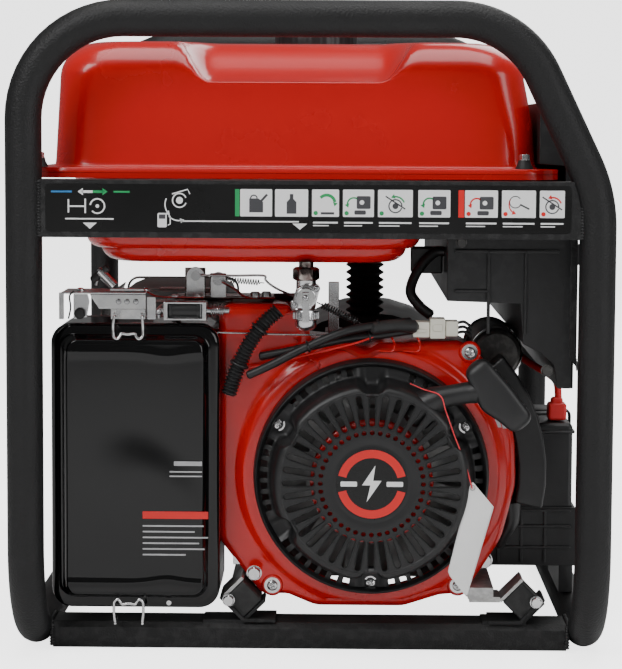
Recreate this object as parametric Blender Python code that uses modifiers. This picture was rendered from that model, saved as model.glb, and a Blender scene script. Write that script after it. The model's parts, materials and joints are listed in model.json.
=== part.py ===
"""Open-frame portable generator, modelled as separate pieces in metres.

+Z is up. The recoil-starter end faces -Y and the control panel faces +X. The origin is under the
middle of the frame, on the ground.
"""
import math

import bmesh
import bpy
from mathutils import Matrix, Vector

# ---- frame -------------------------------------------------------------------------------------
FRAME_LENGTH = 0.695          # along Y, over the tubes
FRAME_WIDTH = 0.530           # along X, over the tubes
FRAME_HEIGHT = 0.580          # over the top tubes
TUBE_RADIUS = 0.016
FOOT_BEND = 0.085             # centre-line radii of the tube bends
TOP_LEFT_BEND = 0.087
TOP_RIGHT_BEND = 0.084
SLOPE_BEND = 0.130
SLOPE_ANGLE = math.radians(25.6)   # lean of the upper right leg from vertical
SLOPE_START_Z = 0.4136
BAR_TOP_Z = 0.425             # top of the two bars that carry the tank
BAR_HEIGHT = 0.050
BAR_DEPTH = 0.030
BAR_SHEET = 0.0025
BAR_FRONT = 0.008             # bar's face in front of the hoop's middle plane
CROSSBAR_SETBACK = 0.050      # from the hoop's middle plane to the floor crossbar
CROSSBAR_DEPTH = 0.042
CROSSBAR_HEIGHT = 0.0245

# ---- rubber isolators --------------------------------------------------------------------------
ISOLATOR_SIDE = 0.025         # square block, stood on its edge at 45 degrees
ISOLATOR_LENGTH = 0.034
ISOLATOR_LEFT = 0.1155        # from the crank axis
ISOLATOR_RIGHT = 0.137
CRADLE_SHEET = 0.003

# ---- fuel tank ---------------------------------------------------------------------------------
TANK_LENGTH = 0.618           # flange, along Y
TANK_LEFT_X = -0.250
TANK_RIGHT_X = 0.2195
TANK_TOP_Z = 0.550
TANK_FLANGE = 0.0045          # each of the two rims
TANK_SEAT = 0.0008            # rubber strip between bar and rim
TANK_RIM = 0.0195             # rim width outside the walls
TANK_WALL = 0.0022
TANK_CORNER = 0.034
PAN_LEFT_X = -0.205
PAN_RIGHT_X = 0.100
PAN_BOTTOM_Z = 0.349
SCOOP_WIDTH = 0.235           # hand scoop in the top's front edge
SCOOP_DEPTH = 0.110
SCOOP_DROP = 0.040
SCOOP_X = -0.015
FILLER_RADIUS = 0.027
STRAINER_DEPTH = 0.060
SIEVE_WALL = 0.0015
CAP_RADIUS = 0.042
CAP_HEIGHT = 0.018

# ---- engine ------------------------------------------------------------------------------------
CRANK_X = 0.055
CRANK_Z = 0.1585
SHROUD_SETBACK = 0.063        # fan shroud's face behind the hoop's middle plane
SHROUD_DEPTH = 0.0835
SHROUD_RADIUS = 0.131
SHROUD_WALL = 0.002
SHROUD_LEFT = 0.1345          # from the crank axis to the shroud's left edge
SHROUD_BOTTOM_Z = 0.036
SHROUD_TOP_Z = 0.307
FAN_RADIUS = 0.0955
FAN_CLEARANCE = 0.0025
RECOIL_RADIUS = 0.104
RECOIL_DISC = 0.079
RECOIL_DEPTH = 0.0525
RECOIL_WALL = 0.0025
REEL_RADIUS = 0.055
SHAFT_RADIUS = 0.014
CYLINDER_TILT = math.radians(25.0)   # cylinder axis above horizontal
BASE_Z = 0.0475               # underside of the engine's feet
CASE_DEPTH = 0.180            # crankcase length along the shaft
CASE_REACH = 0.092            # crank axis to the crankcase's right face

# ---- alternator --------------------------------------------------------------------------------
STATOR_RADIUS = 0.125
STATOR_LENGTH = 0.235
STATOR_WALL = 0.038
ROTOR_CLEARANCE = 0.002
COVER_LENGTH = 0.046
COVER_RADIUS = 0.104

# ---- air filter --------------------------------------------------------------------------------
FILTER_WIDTH = 0.151
FILTER_BOTTOM_Z = 0.039
FILTER_TOP_Z = 0.296
FILTER_SETBACK = 0.035
FILTER_DEPTH = 0.081
FILTER_WALL = 0.0016
FILTER_CORNER = 0.018
FILTER_BASE = 0.0195

# ---- control box, battery ----------------------------------------------------------------------
PANEL_X = 0.2315              # plane behind the panel plate
PANEL_SHEET = 0.002
BOX_LEFT_X = 0.121
BOX_LENGTH = 0.580
BOX_WALL = 0.0026
SOCKET_RADIUS = 0.0195
SOCKET_DEPTH = 0.0165
SOCKET_Z = 0.352
BATTERY_SIZE = (0.0870, 0.150, 0.1320)
TRAY_WALL = 0.0025
TRAY_FLOOR_Z = 0.0605

GAP = 0.0003                  # between pieces that touch
LOOSE = 0.0010                # between pieces that slip into each other

# ---- worked out --------------------------------------------------------------------------------
HOOP_Y = FRAME_LENGTH / 2 - TUBE_RADIUS
LEG_X = FRAME_WIDTH / 2 - TUBE_RADIUS
LEG_INNER_X = LEG_X - TUBE_RADIUS
HOOP_TOP_Z = FRAME_HEIGHT - TUBE_RADIUS
BAR_LENGTH_HALF = LEG_INNER_X - GAP
RIM_Z = BAR_TOP_Z + TANK_SEAT
RIM_MID_Z = RIM_Z + TANK_FLANGE
RIM_TOP_Z = RIM_MID_Z + GAP + TANK_FLANGE
SHROUD_Y = -HOOP_Y + SHROUD_SETBACK
SHROUD_BACK_Y = SHROUD_Y + SHROUD_DEPTH
CASE_Y = SHROUD_BACK_Y + 0.005
CASE_BACK_Y = CASE_Y + CASE_DEPTH
RECOIL_BACK_Y = SHROUD_Y - 0.0005
RECOIL_FRONT_Y = RECOIL_BACK_Y - RECOIL_DEPTH
STATOR_Y = CASE_BACK_Y + 0.005
COVER_Y = STATOR_Y + STATOR_LENGTH + GAP
FILTER_FRONT_Y = -HOOP_Y + FILTER_SETBACK
FILTER_BACK_Y = FILTER_FRONT_Y + FILTER_DEPTH
FILTER_LEFT_X = -LEG_INNER_X + LOOSE
FILTER_RIGHT_X = FILTER_LEFT_X + FILTER_WIDTH
ALONG_X = (1, 0, 0)
ALONG_Y = (0, 1, 0)
ALONG_Z = (0, 0, 1)


# ---- scene and collections ---------------------------------------------------------------------
def start_scene():
    """Empty the scene and make the collections for the parts and for their cutters."""
    for item in list(bpy.data.objects):
        bpy.data.objects.remove(item, do_unlink=True)
    made = []
    for name in ("portable_generator", "cutters"):
        group = bpy.data.collections.new(name)
        bpy.context.scene.collection.children.link(group)
        made.append(group)
    return made


PARTS, CUTTERS = start_scene()


def material(name, colour, roughness, metallic=0.0):
    """A plain Principled material."""
    made = bpy.data.materials.new(name)
    made.use_nodes = True
    shader = made.node_tree.nodes["Principled BSDF"]
    shader.inputs["Base Color"].default_value = (*colour, 1.0)
    shader.inputs["Roughness"].default_value = roughness
    shader.inputs["Metallic"].default_value = metallic
    return made


TEXTURED_BLACK = material("textured_black_paint", (0.035, 0.035, 0.037), 0.62)
RED_PAINT = material("red_gloss_paint", (0.62, 0.012, 0.008), 0.28)
BLACK_PLASTIC = material("black_plastic", (0.022, 0.022, 0.024), 0.42)
GLOSS_BLACK = material("gloss_black_paint", (0.012, 0.012, 0.013), 0.12)
RUBBER = material("rubber", (0.020, 0.020, 0.020), 0.80)
ZINC = material("zinc_plate", (0.62, 0.60, 0.56), 0.34, 1.0)
CAST_ALLOY = material("cast_alloy", (0.55, 0.55, 0.54), 0.48, 1.0)
STEEL = material("steel", (0.50, 0.50, 0.50), 0.30, 1.0)
DARK_STEEL = material("dark_steel", (0.09, 0.09, 0.09), 0.45, 0.8)
NYLON = material("white_nylon", (0.80, 0.79, 0.74), 0.45)
FOAM = material("foam", (0.30, 0.22, 0.12), 0.95)
CARD = material("white_card", (0.85, 0.85, 0.84), 0.70)
RED_STRING = material("red_string", (0.75, 0.05, 0.07), 0.80)


# ---- modelling helpers -------------------------------------------------------------------------
def put(name, mesh, finish):
    """Link a mesh as a part, or as a cutter when it has no finish."""
    item = bpy.data.objects.new(name, mesh)
    if finish is None:
        item.hide_render = True
        item.display_type = 'WIRE'
        CUTTERS.objects.link(item)
    else:
        mesh.materials.append(finish)
        PARTS.objects.link(item)
    return item


def from_bmesh(name, shape, finish, origin=(0, 0, 0)):
    """Finish a bmesh drawn in world places, with the object's origin at the given point."""
    bmesh.ops.translate(shape, vec=-Vector(origin), verts=shape.verts)
    mesh = bpy.data.meshes.new(name)
    shape.to_mesh(mesh)
    shape.free()
    item = put(name, mesh, finish)
    item.location = origin
    return item


def box(name, low, high, finish=None, bevel=0.0, steps=2, along=None, origin=(0, 0, 0)):
    """A box between two corners; its edges, or only those along one axis, are rounded."""
    low, high = Vector(low), Vector(high)
    shape = bmesh.new()
    bmesh.ops.create_cube(shape, size=1.0)
    bmesh.ops.scale(shape, vec=high - low, verts=shape.verts)
    if bevel:
        edges = list(shape.edges)
        if along:
            way = Vector(along)
            edges = [e for e in edges if abs((e.verts[0].co - e.verts[1].co).normalized().dot(way)) > 0.9]
        bmesh.ops.bevel(shape, geom=edges, offset=bevel, segments=steps, profile=0.5, affect='EDGES')
    bmesh.ops.translate(shape, vec=(low + high) / 2, verts=shape.verts)
    return from_bmesh(name, shape, finish, origin)


def cylinder(name, start, end, radius, finish=None, sides=24, far_radius=None, origin=(0, 0, 0)):
    """A cylinder or a cone frustum between two points."""
    start, end = Vector(start), Vector(end)
    run = end - start
    turn = ALONG_Z_VECTOR.rotation_difference(run).to_matrix().to_4x4()
    shape = bmesh.new()
    bmesh.ops.create_cone(shape, cap_ends=True, segments=sides, radius1=radius,
                          radius2=radius if far_radius is None else far_radius, depth=run.length,
                          matrix=Matrix.Translation((start + end) / 2) @ turn)
    return from_bmesh(name, shape, finish, origin)


ALONG_Z_VECTOR = Vector(ALONG_Z)
PRISM_TURN = {'x': Matrix(((0, 0, 1), (1, 0, 0), (0, 1, 0))).to_4x4(),
              'y': Matrix(((1, 0, 0), (0, 0, -1), (0, 1, 0))).to_4x4(),
              'z': Matrix.Identity(4)}


def prism(name, outline, low, high, finish=None, along='y', origin=(0, 0, 0)):
    """A flat outline given a thickness. Along y the outline is (x, z), along x (y, z), along z (x, y)."""
    curve = bpy.data.curves.new(name, 'CURVE')
    curve.dimensions = '2D'
    curve.fill_mode = 'BOTH'
    curve.extrude = (high - low) / 2
    spline = curve.splines.new('POLY')
    spline.points.add(len(outline) - 1)
    for point, (across, up) in zip(spline.points, outline):
        point.co = (across, up, 0.0, 1.0)
    spline.use_cyclic_u = True
    guide = bpy.data.objects.new(name + "_outline", curve)
    PARTS.objects.link(guide)
    mesh = bpy.data.meshes.new_from_object(guide.evaluated_get(bpy.context.evaluated_depsgraph_get()))
    bpy.data.objects.remove(guide, do_unlink=True)
    shape = bmesh.new()
    shape.from_mesh(mesh)
    bpy.data.meshes.remove(mesh)
    bmesh.ops.remove_doubles(shape, verts=shape.verts, dist=0.00001)
    middle = (low + high) / 2
    shift = {'x': (middle, 0, 0), 'y': (0, middle, 0), 'z': (0, 0, middle)}[along]
    bmesh.ops.transform(shape, matrix=Matrix.Translation(shift) @ PRISM_TURN[along], verts=shape.verts)
    bmesh.ops.recalc_face_normals(shape, faces=shape.faces)
    return from_bmesh(name, shape, finish, origin)


def tube(name, points, radius, finish, resolution=2, origin=(0, 0, 0)):
    """A round bar or cable through the points, with its ends filled."""
    curve = bpy.data.curves.new(name, 'CURVE')
    curve.dimensions = '3D'
    curve.bevel_depth = radius
    curve.bevel_resolution = resolution
    curve.use_fill_caps = True
    spline = curve.splines.new('POLY')
    spline.points.add(len(points) - 1)
    start = Vector(origin)
    for knot, place in zip(spline.points, points):
        knot.co = (*(Vector(place) - start), 1.0)
    curve.materials.append(finish)
    item = bpy.data.objects.new(name, curve)
    item.location = origin
    PARTS.objects.link(item)
    return item


def turned(name, profile, centre, along, finish=None, steps=24):
    """A turned piece. The profile's (radius, distance) points run down the outer side.

    Distances are measured along the axis from the centre point.
    """
    mesh = bpy.data.meshes.new(name)
    verts = [(radius, 0.0, height) for radius, height in profile]
    closed = profile[0][0] > 0.0
    edges = [(i, i + 1) for i in range(len(verts) - 1)]
    if closed:
        edges.append((len(verts) - 1, 0))
    mesh.from_pydata(verts, edges, [])
    item = put(name, mesh, finish)
    spin = item.modifiers.new("turn", 'SCREW')
    spin.axis = 'Z'
    spin.angle = math.tau
    spin.steps = steps
    spin.render_steps = steps
    spin.use_merge_vertices = True
    spin.merge_threshold = 0.00002
    item.location = centre
    item.rotation_mode = 'QUATERNION'
    item.rotation_quaternion = ALONG_Z_VECTOR.rotation_difference(Vector(along))
    return item


def as_mesh(item):
    """Replace a curve object by its mesh, with the caps welded on."""
    bpy.context.view_layer.update()
    mesh = bpy.data.meshes.new_from_object(item.evaluated_get(bpy.context.evaluated_depsgraph_get()))
    shape = bmesh.new()
    shape.from_mesh(mesh)
    bmesh.ops.remove_doubles(shape, verts=shape.verts, dist=0.00001)
    bmesh.ops.recalc_face_normals(shape, faces=shape.faces)
    shape.to_mesh(mesh)
    shape.free()
    name, place = item.name, item.matrix_world.copy()
    finish = item.data.materials[0]
    bpy.data.objects.remove(item, do_unlink=True)
    made = bpy.data.objects.new(name, mesh)
    made.matrix_world = place
    if not mesh.materials:
        mesh.materials.append(finish)
    PARTS.objects.link(made)
    return made


def combine(item, tools, operation):
    """Boolean an object with each tool in turn."""
    for tool in tools:
        change = item.modifiers.new(operation.lower(), 'BOOLEAN')
        change.operation = operation
        change.solver = 'EXACT'
        change.object = tool
    return item


def cut(item, *tools):
    """Cut the tools out of the object."""
    return combine(item, tools, 'DIFFERENCE')


def join(item, *tools):
    """Join the tools to the object as one body."""
    return combine(item, tools, 'UNION')


def rounded(points, radii, steps=5):
    """A path through the points with each inner corner replaced by an arc of its radius."""
    places = [Vector(p) for p in points]
    path = [places[0]]
    for before, corner, after, radius in zip(places, places[1:], places[2:], radii):
        way_in = (corner - before).normalized()
        way_out = (after - corner).normalized()
        turn = way_in.angle(way_out)
        start = corner - way_in * radius * math.tan(turn / 2)
        inward = (way_out - way_in * way_in.dot(way_out)).normalized()
        centre = start + inward * radius
        for step in range(steps + 1):
            angle = turn * step / steps
            path.append(centre - inward * radius * math.cos(angle) + way_in * radius * math.sin(angle))
    path.append(places[-1])
    return path


def smooth_route(points, spacing):
    """A smooth curve through a cable's own points, sampled about every spacing."""
    places = [Vector(p) for p in points]
    ends = [places[0] * 2 - places[1]] + places + [places[-1] * 2 - places[-2]]
    route = []
    for p0, p1, p2, p3 in zip(ends, ends[1:], ends[2:], ends[3:]):
        count = max(2, round((p2 - p1).length / spacing))
        for step in range(count):
            t = step / count
            route.append(0.5 * (2 * p1 + (p2 - p0) * t + (2 * p0 - 5 * p1 + 4 * p2 - p3) * t ** 2
                                + (3 * p1 - p0 - 3 * p2 + p3) * t ** 3))
    route.append(places[-1])
    return route


def arc(centre_x, centre_z, radius, start_deg, end_deg, steps):
    """Points (x, z) along an arc."""
    angles = [math.radians(start_deg + (end_deg - start_deg) * i / steps) for i in range(steps + 1)]
    return [(centre_x + radius * math.cos(a), centre_z + radius * math.sin(a)) for a in angles]


def inset(outline, distance):
    """The outline, which runs anticlockwise, moved inwards by a distance."""
    moved = []
    count = len(outline)
    for i, point in enumerate(outline):
        here = Vector(point)
        way_in = (here - Vector(outline[i - 1])).normalized()
        way_out = (Vector(outline[(i + 1) % count]) - here).normalized()
        normal_in = Vector((-way_in.y, way_in.x))
        normal_out = Vector((-way_out.y, way_out.x))
        bisector = (normal_in + normal_out).normalized()
        moved.append(tuple(here + bisector * distance / max(0.4, bisector.dot(normal_in))))
    return moved


def tilted_box(name, centre, along_half, across_low, across_high, low_y, high_y, lean, finish=None):
    """A box whose section is turned about Y: long way at the lean angle, across to its right."""
    way = Vector((math.cos(lean), math.sin(lean)))
    side = Vector((math.sin(lean), -math.cos(lean)))
    middle = Vector(centre)
    outline = [middle + way * a + side * c for a, c in
               ((-along_half[0], across_low), (-along_half[0], across_high),
                (along_half[1], across_high), (along_half[1], across_low))]
    return prism(name, [tuple(p) for p in outline], low_y, high_y, finish)


# ---- frame -------------------------------------------------------------------------------------
def hoop(name, side, radius=TUBE_RADIUS):
    """One end hoop, whose legs bend back into its half of the two bottom rails."""
    near_y = side * HOOP_Y
    top_right_x = LEG_X - (HOOP_TOP_Z - SLOPE_START_Z) * math.tan(SLOPE_ANGLE)
    middle_y = side * GAP / 2
    points = [(-LEG_X, middle_y, TUBE_RADIUS), (-LEG_X, near_y, TUBE_RADIUS), (-LEG_X, near_y, HOOP_TOP_Z),
              (top_right_x, near_y, HOOP_TOP_Z), (LEG_X, near_y, SLOPE_START_Z),
              (LEG_X, near_y, TUBE_RADIUS), (LEG_X, middle_y, TUBE_RADIUS)]
    radii = [FOOT_BEND, TOP_LEFT_BEND, TOP_RIGHT_BEND, SLOPE_BEND, FOOT_BEND]
    return tube(name, rounded(points, radii), radius, TEXTURED_BLACK, resolution=4)


def as_cutter(item):
    """Turn a mesh part into a cutter."""
    PARTS.objects.unlink(item)
    CUTTERS.objects.link(item)
    item.hide_render = True
    item.display_type = 'WIRE'
    return item


def tank_bar(name, side):
    """Channel between a hoop's legs; its web faces outwards and carries the picture label."""
    front = side * (HOOP_Y + BAR_FRONT)
    back = front - side * BAR_DEPTH
    web = front - side * BAR_SHEET
    low, high = BAR_TOP_Z - BAR_HEIGHT, BAR_TOP_Z
    outline = [(front, low), (back, low), (back, low + BAR_SHEET), (web, low + BAR_SHEET),
               (web, high - BAR_SHEET), (back, high - BAR_SHEET), (back, high), (front, high)]
    reach = LEG_X - TUBE_RADIUS / 4
    bar = prism(name, outline, -reach, reach, TEXTURED_BLACK, along='x')
    return cut(bar, as_cutter(as_mesh(hoop(name + "_notch", side, TUBE_RADIUS + GAP))))


def isolator_places(side):
    """Each rubber block's (lean of its cradle, x, z of its middle) at one end.

    A lean of 1 puts the cradle plate below its right face, and -1 below its left face. At the
    engine's end both lean the same way, because the air filter leaves no room left of the block.
    """
    drop = (ISOLATOR_SIDE / 2 + GAP + CRADLE_SHEET) * math.sqrt(2)
    height = CROSSBAR_HEIGHT + drop - 0.002
    return (-side, CRANK_X - ISOLATOR_LEFT, height), (1, CRANK_X + ISOLATOR_RIGHT, height)


def crossbar_span(side):
    """The crossbar's outer and inner y."""
    outer = side * (HOOP_Y - CROSSBAR_SETBACK)
    return outer, outer - side * CROSSBAR_DEPTH


def crossbar(name, side):
    """Pressed floor crossbar between the rails, with a bent cradle plate under each rubber block."""
    outer, inner = crossbar_span(side)
    soft = 0.005
    outline = [(outer - side * soft, 0.0), (inner, 0.0), (inner, CROSSBAR_HEIGHT),
               (outer - side * soft, CROSSBAR_HEIGHT), (outer, CROSSBAR_HEIGHT - soft), (outer, 2 * soft)]
    bar = prism(name, outline, -BAR_LENGTH_HALF, BAR_LENGTH_HALF, TEXTURED_BLACK, along='x')
    half = ISOLATOR_SIDE / 2
    low_y, high_y = sorted((outer - side * 0.004, inner + side * 0.004))
    for lean, x, z in isolator_places(side):
        plate = tilted_box(f"{name}_cradle", (x, z), (half + 0.009, half + 0.001), half + GAP,
                           half + GAP + CRADLE_SHEET, low_y, high_y, math.radians(45))
        if lean < 0:
            mirror_mesh(plate, x)
        foot_low, foot_high = sorted((x + lean * 0.004, x - lean * 0.036))
        foot = box(f"{name}_foot", (foot_low, low_y, CROSSBAR_HEIGHT - 0.002),
                   (foot_high, high_y, CROSSBAR_HEIGHT + 0.0022))
        join(bar, plate, foot)
    return bar


def mirror_mesh(item, x):
    """Mirror an object's mesh in the plane at x, keeping its faces outwards."""
    shape = bmesh.new()
    shape.from_mesh(item.data)
    flip = Matrix.Translation((x, 0, 0)) @ Matrix.Scale(-1, 4, ALONG_X) @ Matrix.Translation((-x, 0, 0))
    bmesh.ops.transform(shape, matrix=flip, verts=shape.verts)
    bmesh.ops.reverse_faces(shape, faces=shape.faces)
    shape.to_mesh(item.data)
    shape.free()


def isolators(end_name, side):
    """The two rubber blocks at one end."""
    outer, inner = crossbar_span(side)
    middle = (outer + inner) / 2
    for word, (_, x, z) in zip(("left", "right"), isolator_places(side)):
        half = ISOLATOR_SIDE / 2
        tilted_box(f"{end_name}_isolator_{word}", (x, z), (half, half), -half, half,
                   middle - ISOLATOR_LENGTH / 2, middle + ISOLATOR_LENGTH / 2, math.radians(45), RUBBER)


def hanger(name, side):
    """Plates over both rubber blocks at one end, which carry the machine above them."""
    outer, inner = crossbar_span(side)
    low_y, high_y = sorted((outer - side * 0.004, inner + side * 0.004))
    half = ISOLATOR_SIDE / 2
    tools = []
    for lean, x, z in isolator_places(side):
        back_y = high_y + 0.020 if side < 0 and x < CRANK_X else high_y
        plate = tilted_box(f"{name}_plate", (x, z), (half + 0.001, half + 0.002),
                           -half - GAP - CRADLE_SHEET, -half - GAP, low_y, back_y, math.radians(45))
        if lean < 0:
            mirror_mesh(plate, x)
        tools.append(plate)
    (_, left_x, z), (_, right_x, _) = isolator_places(side)
    reach = math.sqrt(2) * (half + GAP) + 0.0015
    start = left_x + reach if side > 0 else right_x - reach - 0.028
    tools.append(box(f"{name}_bar", (start, low_y, z - 0.0005), (right_x - reach, high_y, z + 0.0045)))
    return tools


hoop("near_hoop", -1)
hoop("far_hoop", 1)
tank_bar("near_tank_bar", -1)
tank_bar("far_tank_bar", 1)
crossbar("near_crossbar", -1)
crossbar("far_crossbar", 1)
isolators("near", -1)
isolators("far", 1)


# ---- fuel tank ---------------------------------------------------------------------------------
def tank_body(name, shrink):
    """The tank's pressed top, leaning in towards its roof, with the hand scoop taken out."""
    left, right = TANK_LEFT_X + TANK_RIM + shrink, TANK_RIGHT_X - TANK_RIM - shrink
    half = TANK_LENGTH / 2 - TANK_RIM - shrink
    top = TANK_TOP_Z - shrink
    shape = bmesh.new()
    bmesh.ops.create_cube(shape, size=1.0)
    bmesh.ops.scale(shape, vec=(right - left, 2 * half, top - RIM_MID_Z), verts=shape.verts)
    upright = [e for e in shape.edges if abs(e.verts[0].co.z - e.verts[1].co.z) > 0.01]
    bmesh.ops.bevel(shape, geom=upright, offset=TANK_CORNER, segments=3, profile=0.5, affect='EDGES')
    roof = [e for e in shape.edges if min(v.co.z for v in e.verts) > 0]
    bmesh.ops.bevel(shape, geom=roof, offset=TANK_CORNER * 0.8, segments=3, profile=0.5, affect='EDGES')
    bmesh.ops.translate(shape, vec=((left + right) / 2, 0, (top + RIM_MID_Z) / 2), verts=shape.verts)
    body = from_bmesh(name, shape, None)
    front = -half - 0.05
    slope_z = TANK_TOP_Z - SCOOP_DROP - shrink
    outline = [(front, slope_z), (-half + 0.02, slope_z), (-half + SCOOP_DEPTH, top + 0.01), (front, top + 0.01)]
    scoop = prism(name + "_scoop", outline, SCOOP_X - SCOOP_WIDTH / 2 - shrink, SCOOP_X + SCOOP_WIDTH / 2 + shrink,
                  along='x')
    return cut(body, scoop)


def rim_outline():
    """Plan of the tank's rim, with round corners, as (x, y)."""
    half = TANK_LENGTH / 2
    r = TANK_CORNER
    corners = ((TANK_RIGHT_X - r, half - r, 0), (TANK_LEFT_X + r, half - r, 90),
               (TANK_LEFT_X + r, -half + r, 180), (TANK_RIGHT_X - r, -half + r, 270))
    outline = []
    for x, y, start in corners:
        outline += arc(x, y, r, start, start + 90, 4)
    return outline


def fuel_tank():
    """Two pressed shells that meet at the rim, with the filler's parts."""
    upper = prism("fuel_tank_upper", rim_outline(), RIM_MID_Z + GAP, RIM_TOP_Z, RED_PAINT, along='z')
    neck_top = TANK_TOP_Z + 0.006
    neck = cylinder("neck", (0, 0, TANK_TOP_Z - 0.002), (0, 0, neck_top), FILLER_RADIUS + TANK_WALL)
    lifted = tank_body("upper_outside", 0.0)
    lifted.location.z += 2 * GAP
    inside = tank_body("upper_inside", TANK_WALL)
    inside.location.z -= 0.001
    bore = cylinder("filler_bore", (0, 0, TANK_TOP_Z - 0.02), (0, 0, neck_top + 0.01), FILLER_RADIUS)
    join(upper, lifted, neck)
    cut(upper, inside, bore)

    lower = prism("fuel_tank_lower", rim_outline(), RIM_Z, RIM_MID_Z, RED_PAINT, along='z')
    half = TANK_LENGTH / 2 - TANK_RIM - 0.004
    pan = box("pan", (PAN_LEFT_X, -half, PAN_BOTTOM_Z), (PAN_RIGHT_X, half, RIM_Z + 0.03), bevel=0.018, steps=3)
    trim = box("pan_trim", (-0.4, -0.5, RIM_MID_Z), (0.4, 0.5, RIM_Z + 0.05))
    hollow = box("pan_inside", (PAN_LEFT_X + TANK_WALL, -half + TANK_WALL, PAN_BOTTOM_Z + TANK_WALL),
                 (PAN_RIGHT_X - TANK_WALL, half - TANK_WALL, RIM_Z + 0.04), bevel=0.016, steps=3)
    join(lower, pan)
    cut(lower, trim, hollow)

    sieve = FILLER_RADIUS - LOOSE
    turned("fuel_strainer", [(0.0, -STRAINER_DEPTH + SIEVE_WALL), (sieve - SIEVE_WALL, -STRAINER_DEPTH + SIEVE_WALL),
                             (sieve - SIEVE_WALL, 0.0), (sieve, 0.0), (sieve, -STRAINER_DEPTH), (0.0, -STRAINER_DEPTH)],
           (0, 0, neck_top - 0.002), ALONG_Z, NYLON, steps=16)
    skirt = FILLER_RADIUS + TANK_WALL + LOOSE
    cap_low = TANK_TOP_Z + 0.001 - neck_top - GAP
    turned("fuel_cap", [(0.0, CAP_HEIGHT), (CAP_RADIUS * 0.86, CAP_HEIGHT), (CAP_RADIUS, CAP_HEIGHT - 0.005),
                        (CAP_RADIUS, cap_low), (skirt, cap_low), (skirt, 0.0), (0.0, 0.0)],
           (0, 0, neck_top + GAP), ALONG_Z, BLACK_PLASTIC)


fuel_tank()


# ---- fuel valve and hose -----------------------------------------------------------------------
VALVE_X = -0.0045
VALVE_Y = -HOOP_Y + 0.060
VALVE_FRONT_Y = VALVE_Y - 0.013


def fuel_valve():
    """Petcock under the tank: body, turning lever and sediment cup."""
    top = PAN_BOTTOM_Z - GAP
    body = box("fuel_valve_body", (VALVE_X - 0.0125, VALVE_FRONT_Y, 0.3080), (VALVE_X + 0.0125, VALVE_Y + 0.013, 0.3320),
               CAST_ALLOY, bevel=0.003, steps=1)
    nut = cylinder("valve_nut", (VALVE_X, VALVE_Y, 0.330), (VALVE_X, VALVE_Y, 0.3440), 0.0120, sides=6)
    stub = cylinder("valve_stub", (VALVE_X, VALVE_Y, 0.342), (VALVE_X, VALVE_Y, top), 0.0070, sides=16)
    spout = cylinder("valve_spout", (VALVE_X, VALVE_Y + 0.010, 0.320), (VALVE_X, VALVE_Y + 0.0185, 0.320),
                     0.0032, sides=12)
    join(body, nut, stub, spout)
    cup_top = 0.3080 - GAP
    turned("sediment_cup", [(0.0, 0.0), (0.0112, 0.0), (0.0112, -0.010), (0.0078, -0.0115), (0.0070, -0.017),
                            (0.0, -0.018)], (VALVE_X, VALVE_Y, cup_top), ALONG_Z, ZINC, steps=16)
    pivot = (VALVE_X, VALVE_FRONT_Y - GAP, 0.320)
    boss = cylinder("fuel_valve_lever", pivot, (VALVE_X, VALVE_FRONT_Y - 0.004, 0.320), 0.0085, CAST_ALLOY, 16,
                    origin=pivot)
    arm = box("lever_arm", (VALVE_X - 0.0028, VALVE_FRONT_Y - 0.0072, 0.2985),
              (VALVE_X + 0.0028, VALVE_FRONT_Y - 0.0024, 0.3250))
    join(boss, arm)


def carburettor():
    """Carburettor body with its bowl, between the air filter and the cylinder head."""
    body = box("carburettor", (-0.172, -0.1935, 0.2500), (-0.118, -0.1670, 0.2900), CAST_ALLOY, bevel=0.004, steps=2)
    bowl = cylinder("bowl", (-0.145, -0.1800, 0.2300), (-0.145, -0.1800, 0.2520), 0.0125)
    spigot = cylinder("spigot", (-0.128, -0.1800, 0.2880), (-0.128, -0.1800, 0.2960), 0.0032, sides=12)
    bore = cylinder("throat", (-0.146, -0.21, 0.270), (-0.146, -0.15, 0.270), 0.0115, sides=16)
    join(body, bowl, spigot)
    cut(body, bore)


FUEL_HOSE_ROUTE = [(VALVE_X, VALVE_Y + 0.0195, 0.320), (VALVE_X - 0.001, -0.234, 0.3185),
                   (-0.0120, -0.208, 0.3150), (-0.0350, -0.1870, 0.3130), (-0.0620, -0.1790, 0.3125),
                   (-0.0880, -0.1785, 0.3130), (-0.1080, -0.1790, 0.3135), (-0.1215, -0.1795, 0.3095),
                   (-0.1278, -0.1800, 0.3030), (-0.1280, -0.1800, 0.2963)]

fuel_valve()
carburettor()
tube("fuel_hose", smooth_route(FUEL_HOSE_ROUTE, 0.012), 0.0038, RUBBER)


# ---- engine ------------------------------------------------------------------------------------
def on_cylinder(along, across):
    """(x, z) of a point given along the cylinder's axis from the crank, and across it."""
    x = CRANK_X - along * math.cos(CYLINDER_TILT) + across * math.sin(CYLINDER_TILT)
    z = CRANK_Z + along * math.sin(CYLINDER_TILT) + across * math.cos(CYLINDER_TILT)
    return x, z


BARREL_Y = (-0.165, -0.045)
BARREL_START = 0.092
DECK = 0.158
HEAD_END = 0.205
ROCKER_END = 0.240


def barrel_outline():
    """Side view of the finned barrel: a comb on both sides."""
    fins = 7
    fin_half, core_half, root = 0.062, 0.050, BARREL_START + 0.008
    pitch = (DECK - root) / fins
    upper = []
    for i in range(fins):
        start = root + i * pitch
        upper += [(start, core_half), (start + pitch * 0.55, core_half), (start + pitch * 0.55, fin_half),
                  (start + pitch, fin_half)]
    lower = [(a, -c) for a, c in reversed(upper)]
    return [on_cylinder(a, c) for a, c in [(BARREL_START - 0.02, core_half)] + upper + lower
            + [(BARREL_START - 0.02, -core_half)]]


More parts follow.
